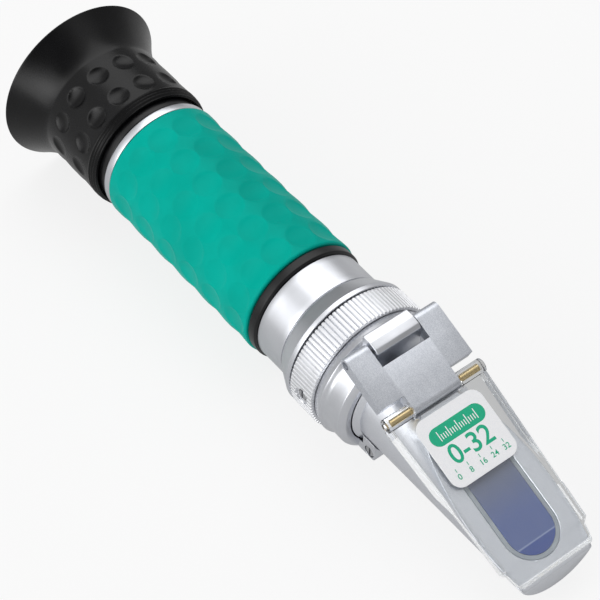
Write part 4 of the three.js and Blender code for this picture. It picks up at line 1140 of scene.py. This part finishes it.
stand_in("green_print", green_print, green_ink, "plate", "white_sticker")
stand_in("white_print", tidied(white_print, 30), white_sticker, "plate", "white_sticker")

# %% [markdown]
# Looking into the eyecup, the first things behind the opening are the eye lens and the threaded ring
# that holds it. The lens faces follow a parabola, close to the sphere of a real lens at this size.

# %% The eye lens and its ring
LENS_X, LENS_RADIUS, LENS_EDGE, LENS_BULGE = -68.05, 8.6, 0.74, 0.9
u = np.linspace(0, 1, 16)
half_glass = LENS_EDGE + LENS_BULGE * (1 - u ** 2)
rear, front = (np.stack([LENS_X + side * half_glass, LENS_RADIUS * u], axis=1) for side in (-1, 1))
lens_line = np.concatenate([rear, front[::-1]])
stand_in("eye_lens_glass", turned(lens_line, 120), optical_glass,
         "lens_slide", "optical_glass", "eye_lens")
retainer_line = rounded([[-71, 7.0], [-71, 8.6], [-70, 8.6], [-70, 7.0]], [0.3, 0.1, 0.1, 0.1], steps=3)
stand_in("eye_lens_ring", turned(retainer_line, 120), black_metal,
         "lens_slide", "black_metal", "lens_retainer")

# %% [markdown]
# The pieces inside keep the shapes of the solids and only take a finish. They are seen when the part is
# opened, or through the lenses.

# %% Finishes of the hidden pieces
inside = {
    "main_tube": dull_aluminium, "reticle_disc": optical_glass, "reticle_ring": black_metal,
    "light_baffle": black_metal, "objective_carriage": black_metal, "objective_cell": black_metal,
    "objective_lens": optical_glass, "bimetal_strip": brass, "strip_screw": steel, "adjuster_pin": steel,
    "ring_seal": black_rubber, "guide_pin": steel, "lens_cell": black_metal, "field_lens": optical_glass,
    "lens_spacer": black_metal,
}
for node_name, finish in inside.items():
    for material_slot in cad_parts[node_name].material_slots:
        material_slot.material = finish
print("finished inside:", ", ".join(inside))

# %% [markdown]
# The instrument lies on its eyecup's rim and on the knurled ring, so the floor is the plane that touches
# both from below, which is tilted by a little over two degrees. The floor is nearly white. Most of what
# the camera sees of it is plain light, and the rest is a matt surface that keeps the soft shadow.

# %% The floor
def floor_finish():
    tree = Finish("pale_floor")
    direct, mirrored = tree.ray("Camera").at_least(tree.ray("Transmission")), tree.ray("Glossy")
    matt = tree.node("ShaderNodeBsdfDiffuse", sockets={"Color": (0.8, 0.8, 0.8, 1.0)})
    light = tree.node("ShaderNodeEmission", sockets={
        "Color": (1.0, 1.0, 1.0, 1.0), "Strength": 1 - 0.5 * mirrored,
    })
    return tree.done(tree.mixed_shaders((0.82 * direct).at_least(0.7 * mirrored), matt, light))


def floor_points(half=1400.0, count=9):
    """z = -20.63 + (x + 83.8) times the slope between the two lowest places, 0.03 below both."""
    rise = (20.6 - 16.27) / (24.0 + 83.8)
    steps = np.linspace(-half, half, count)
    x, y = np.meshgrid(steps, steps, indexing="ij")
    return np.stack([x, y, -20.63 + (x + 83.8) * rise], axis=-1)


floor_mesh = skin(floor_points(), closed_rows=False, closed_columns=False)
floor_mesh.flip_normals()
floor_mesh.materials.append(floor_finish())
floor = placed("floor", floor_mesh)
print("floor normal:", tuple(round(k, 3) for k in floor_mesh.polygons[0].normal))

# %% [markdown]
# Bare metal shows what stands round it, so the room is designed as much as the lamps are. A bright tent
# hangs overhead and on the -Y side. The room is dimmer ahead of the tip, dimmer still behind the eyecup,
# and open and dark round the camera. A bright panel stands low on the -Y side, ahead of the middle. Two
# soft lamps, one high behind the instrument and one on its near side, give the light its direction.

# %% Room, lamps and view settings
TO_CAMERA = (0.497, -0.383, 0.778)


def room_light():
    """A level for each direction (x, y, z) of the world, as shares of the tent, panel and dim places."""
    tree = Network(bpy.data.worlds.new("room"), "ShaderNodeOutputWorld")
    where = tree.node("ShaderNodeTexCoord", output="Generated")
    x, y, z = (tree.node("ShaderNodeSeparateXYZ", sockets={0: where}, output=axis) for axis in "XYZ")
    tent = tree.fade(z - 0.8 * y, 0.0, 0.5)
    ahead = tree.fade(x, -0.3, 0.2)
    behind = tree.fade(-1 * x, 0.51, 0.62)
    open_room = tree.fade(tree.reach(where, TO_CAMERA), 0.75, 0.95)
    low_panel = tree.fade(-1 * y, 0.76, 0.9) * ahead
    walls = (0.52 + 0.6 * tent) * (1 - 0.35 * ahead) * (1 - 0.6 * behind) * (1 - 0.75 * open_room)
    level = walls + 2 * low_panel
    return tree.done(tree.node("ShaderNodeBackground", sockets={
        "Color": (1.0, 1.0, 1.0, 1.0), "Strength": tree.ray("Camera").at_least(level),
    }))


def soft_lamp(name, toward, distance, size, power):
    """An area lamp that stands in the direction given from the object and looks back at it."""
    data = bpy.data.lights.new(name, "AREA")
    data.shape = "RECTANGLE"
    data.size, data.size_y = size
    data.energy = power
    lamp = placed(name, data)
    direction = Vector(toward).normalized()
    turn = direction.to_track_quat("Z", "Y").to_matrix().to_4x4()
    lamp.matrix_world = Matrix.Translation(direction * distance) @ turn


bpy.context.scene.world = room_light()
soft_lamp("key", toward=(-0.45, 0.35, 0.82), distance=0.75, size=(0.75, 0.75), power=1.75)
soft_lamp("near_side", toward=(-0.1, -0.85, 0.5), distance=0.75, size=(0.65, 0.45), power=1.0)
bpy.context.scene.view_settings.view_transform = "Standard"
print("lamps:", [light.name for light in bpy.data.lights])

# %% [markdown]
# The camera stands where the photograph was taken from: its place and its three axes were fitted to
# the outline of the instrument.

# %% The camera
camera_data = bpy.data.cameras.new("camera")
camera_data.lens = 150.1
camera_data.sensor_width = 36.0
camera_data.clip_start = 0.01
camera = placed("camera", camera_data)
right, up, back = (0.61715, 0.78682, -0.00676), (-0.60985, 0.48373, 0.62777), (0.49721, -0.38331, 0.77837)
turn = Matrix((right, up, back)).transposed().to_4x4()
camera.matrix_world = Matrix.Translation(Vector((268.938, -207.570, 420.638)) * MM) @ turn
bpy.context.scene.camera = camera
print("camera at", tuple(round(k, 3) for k in camera.location))
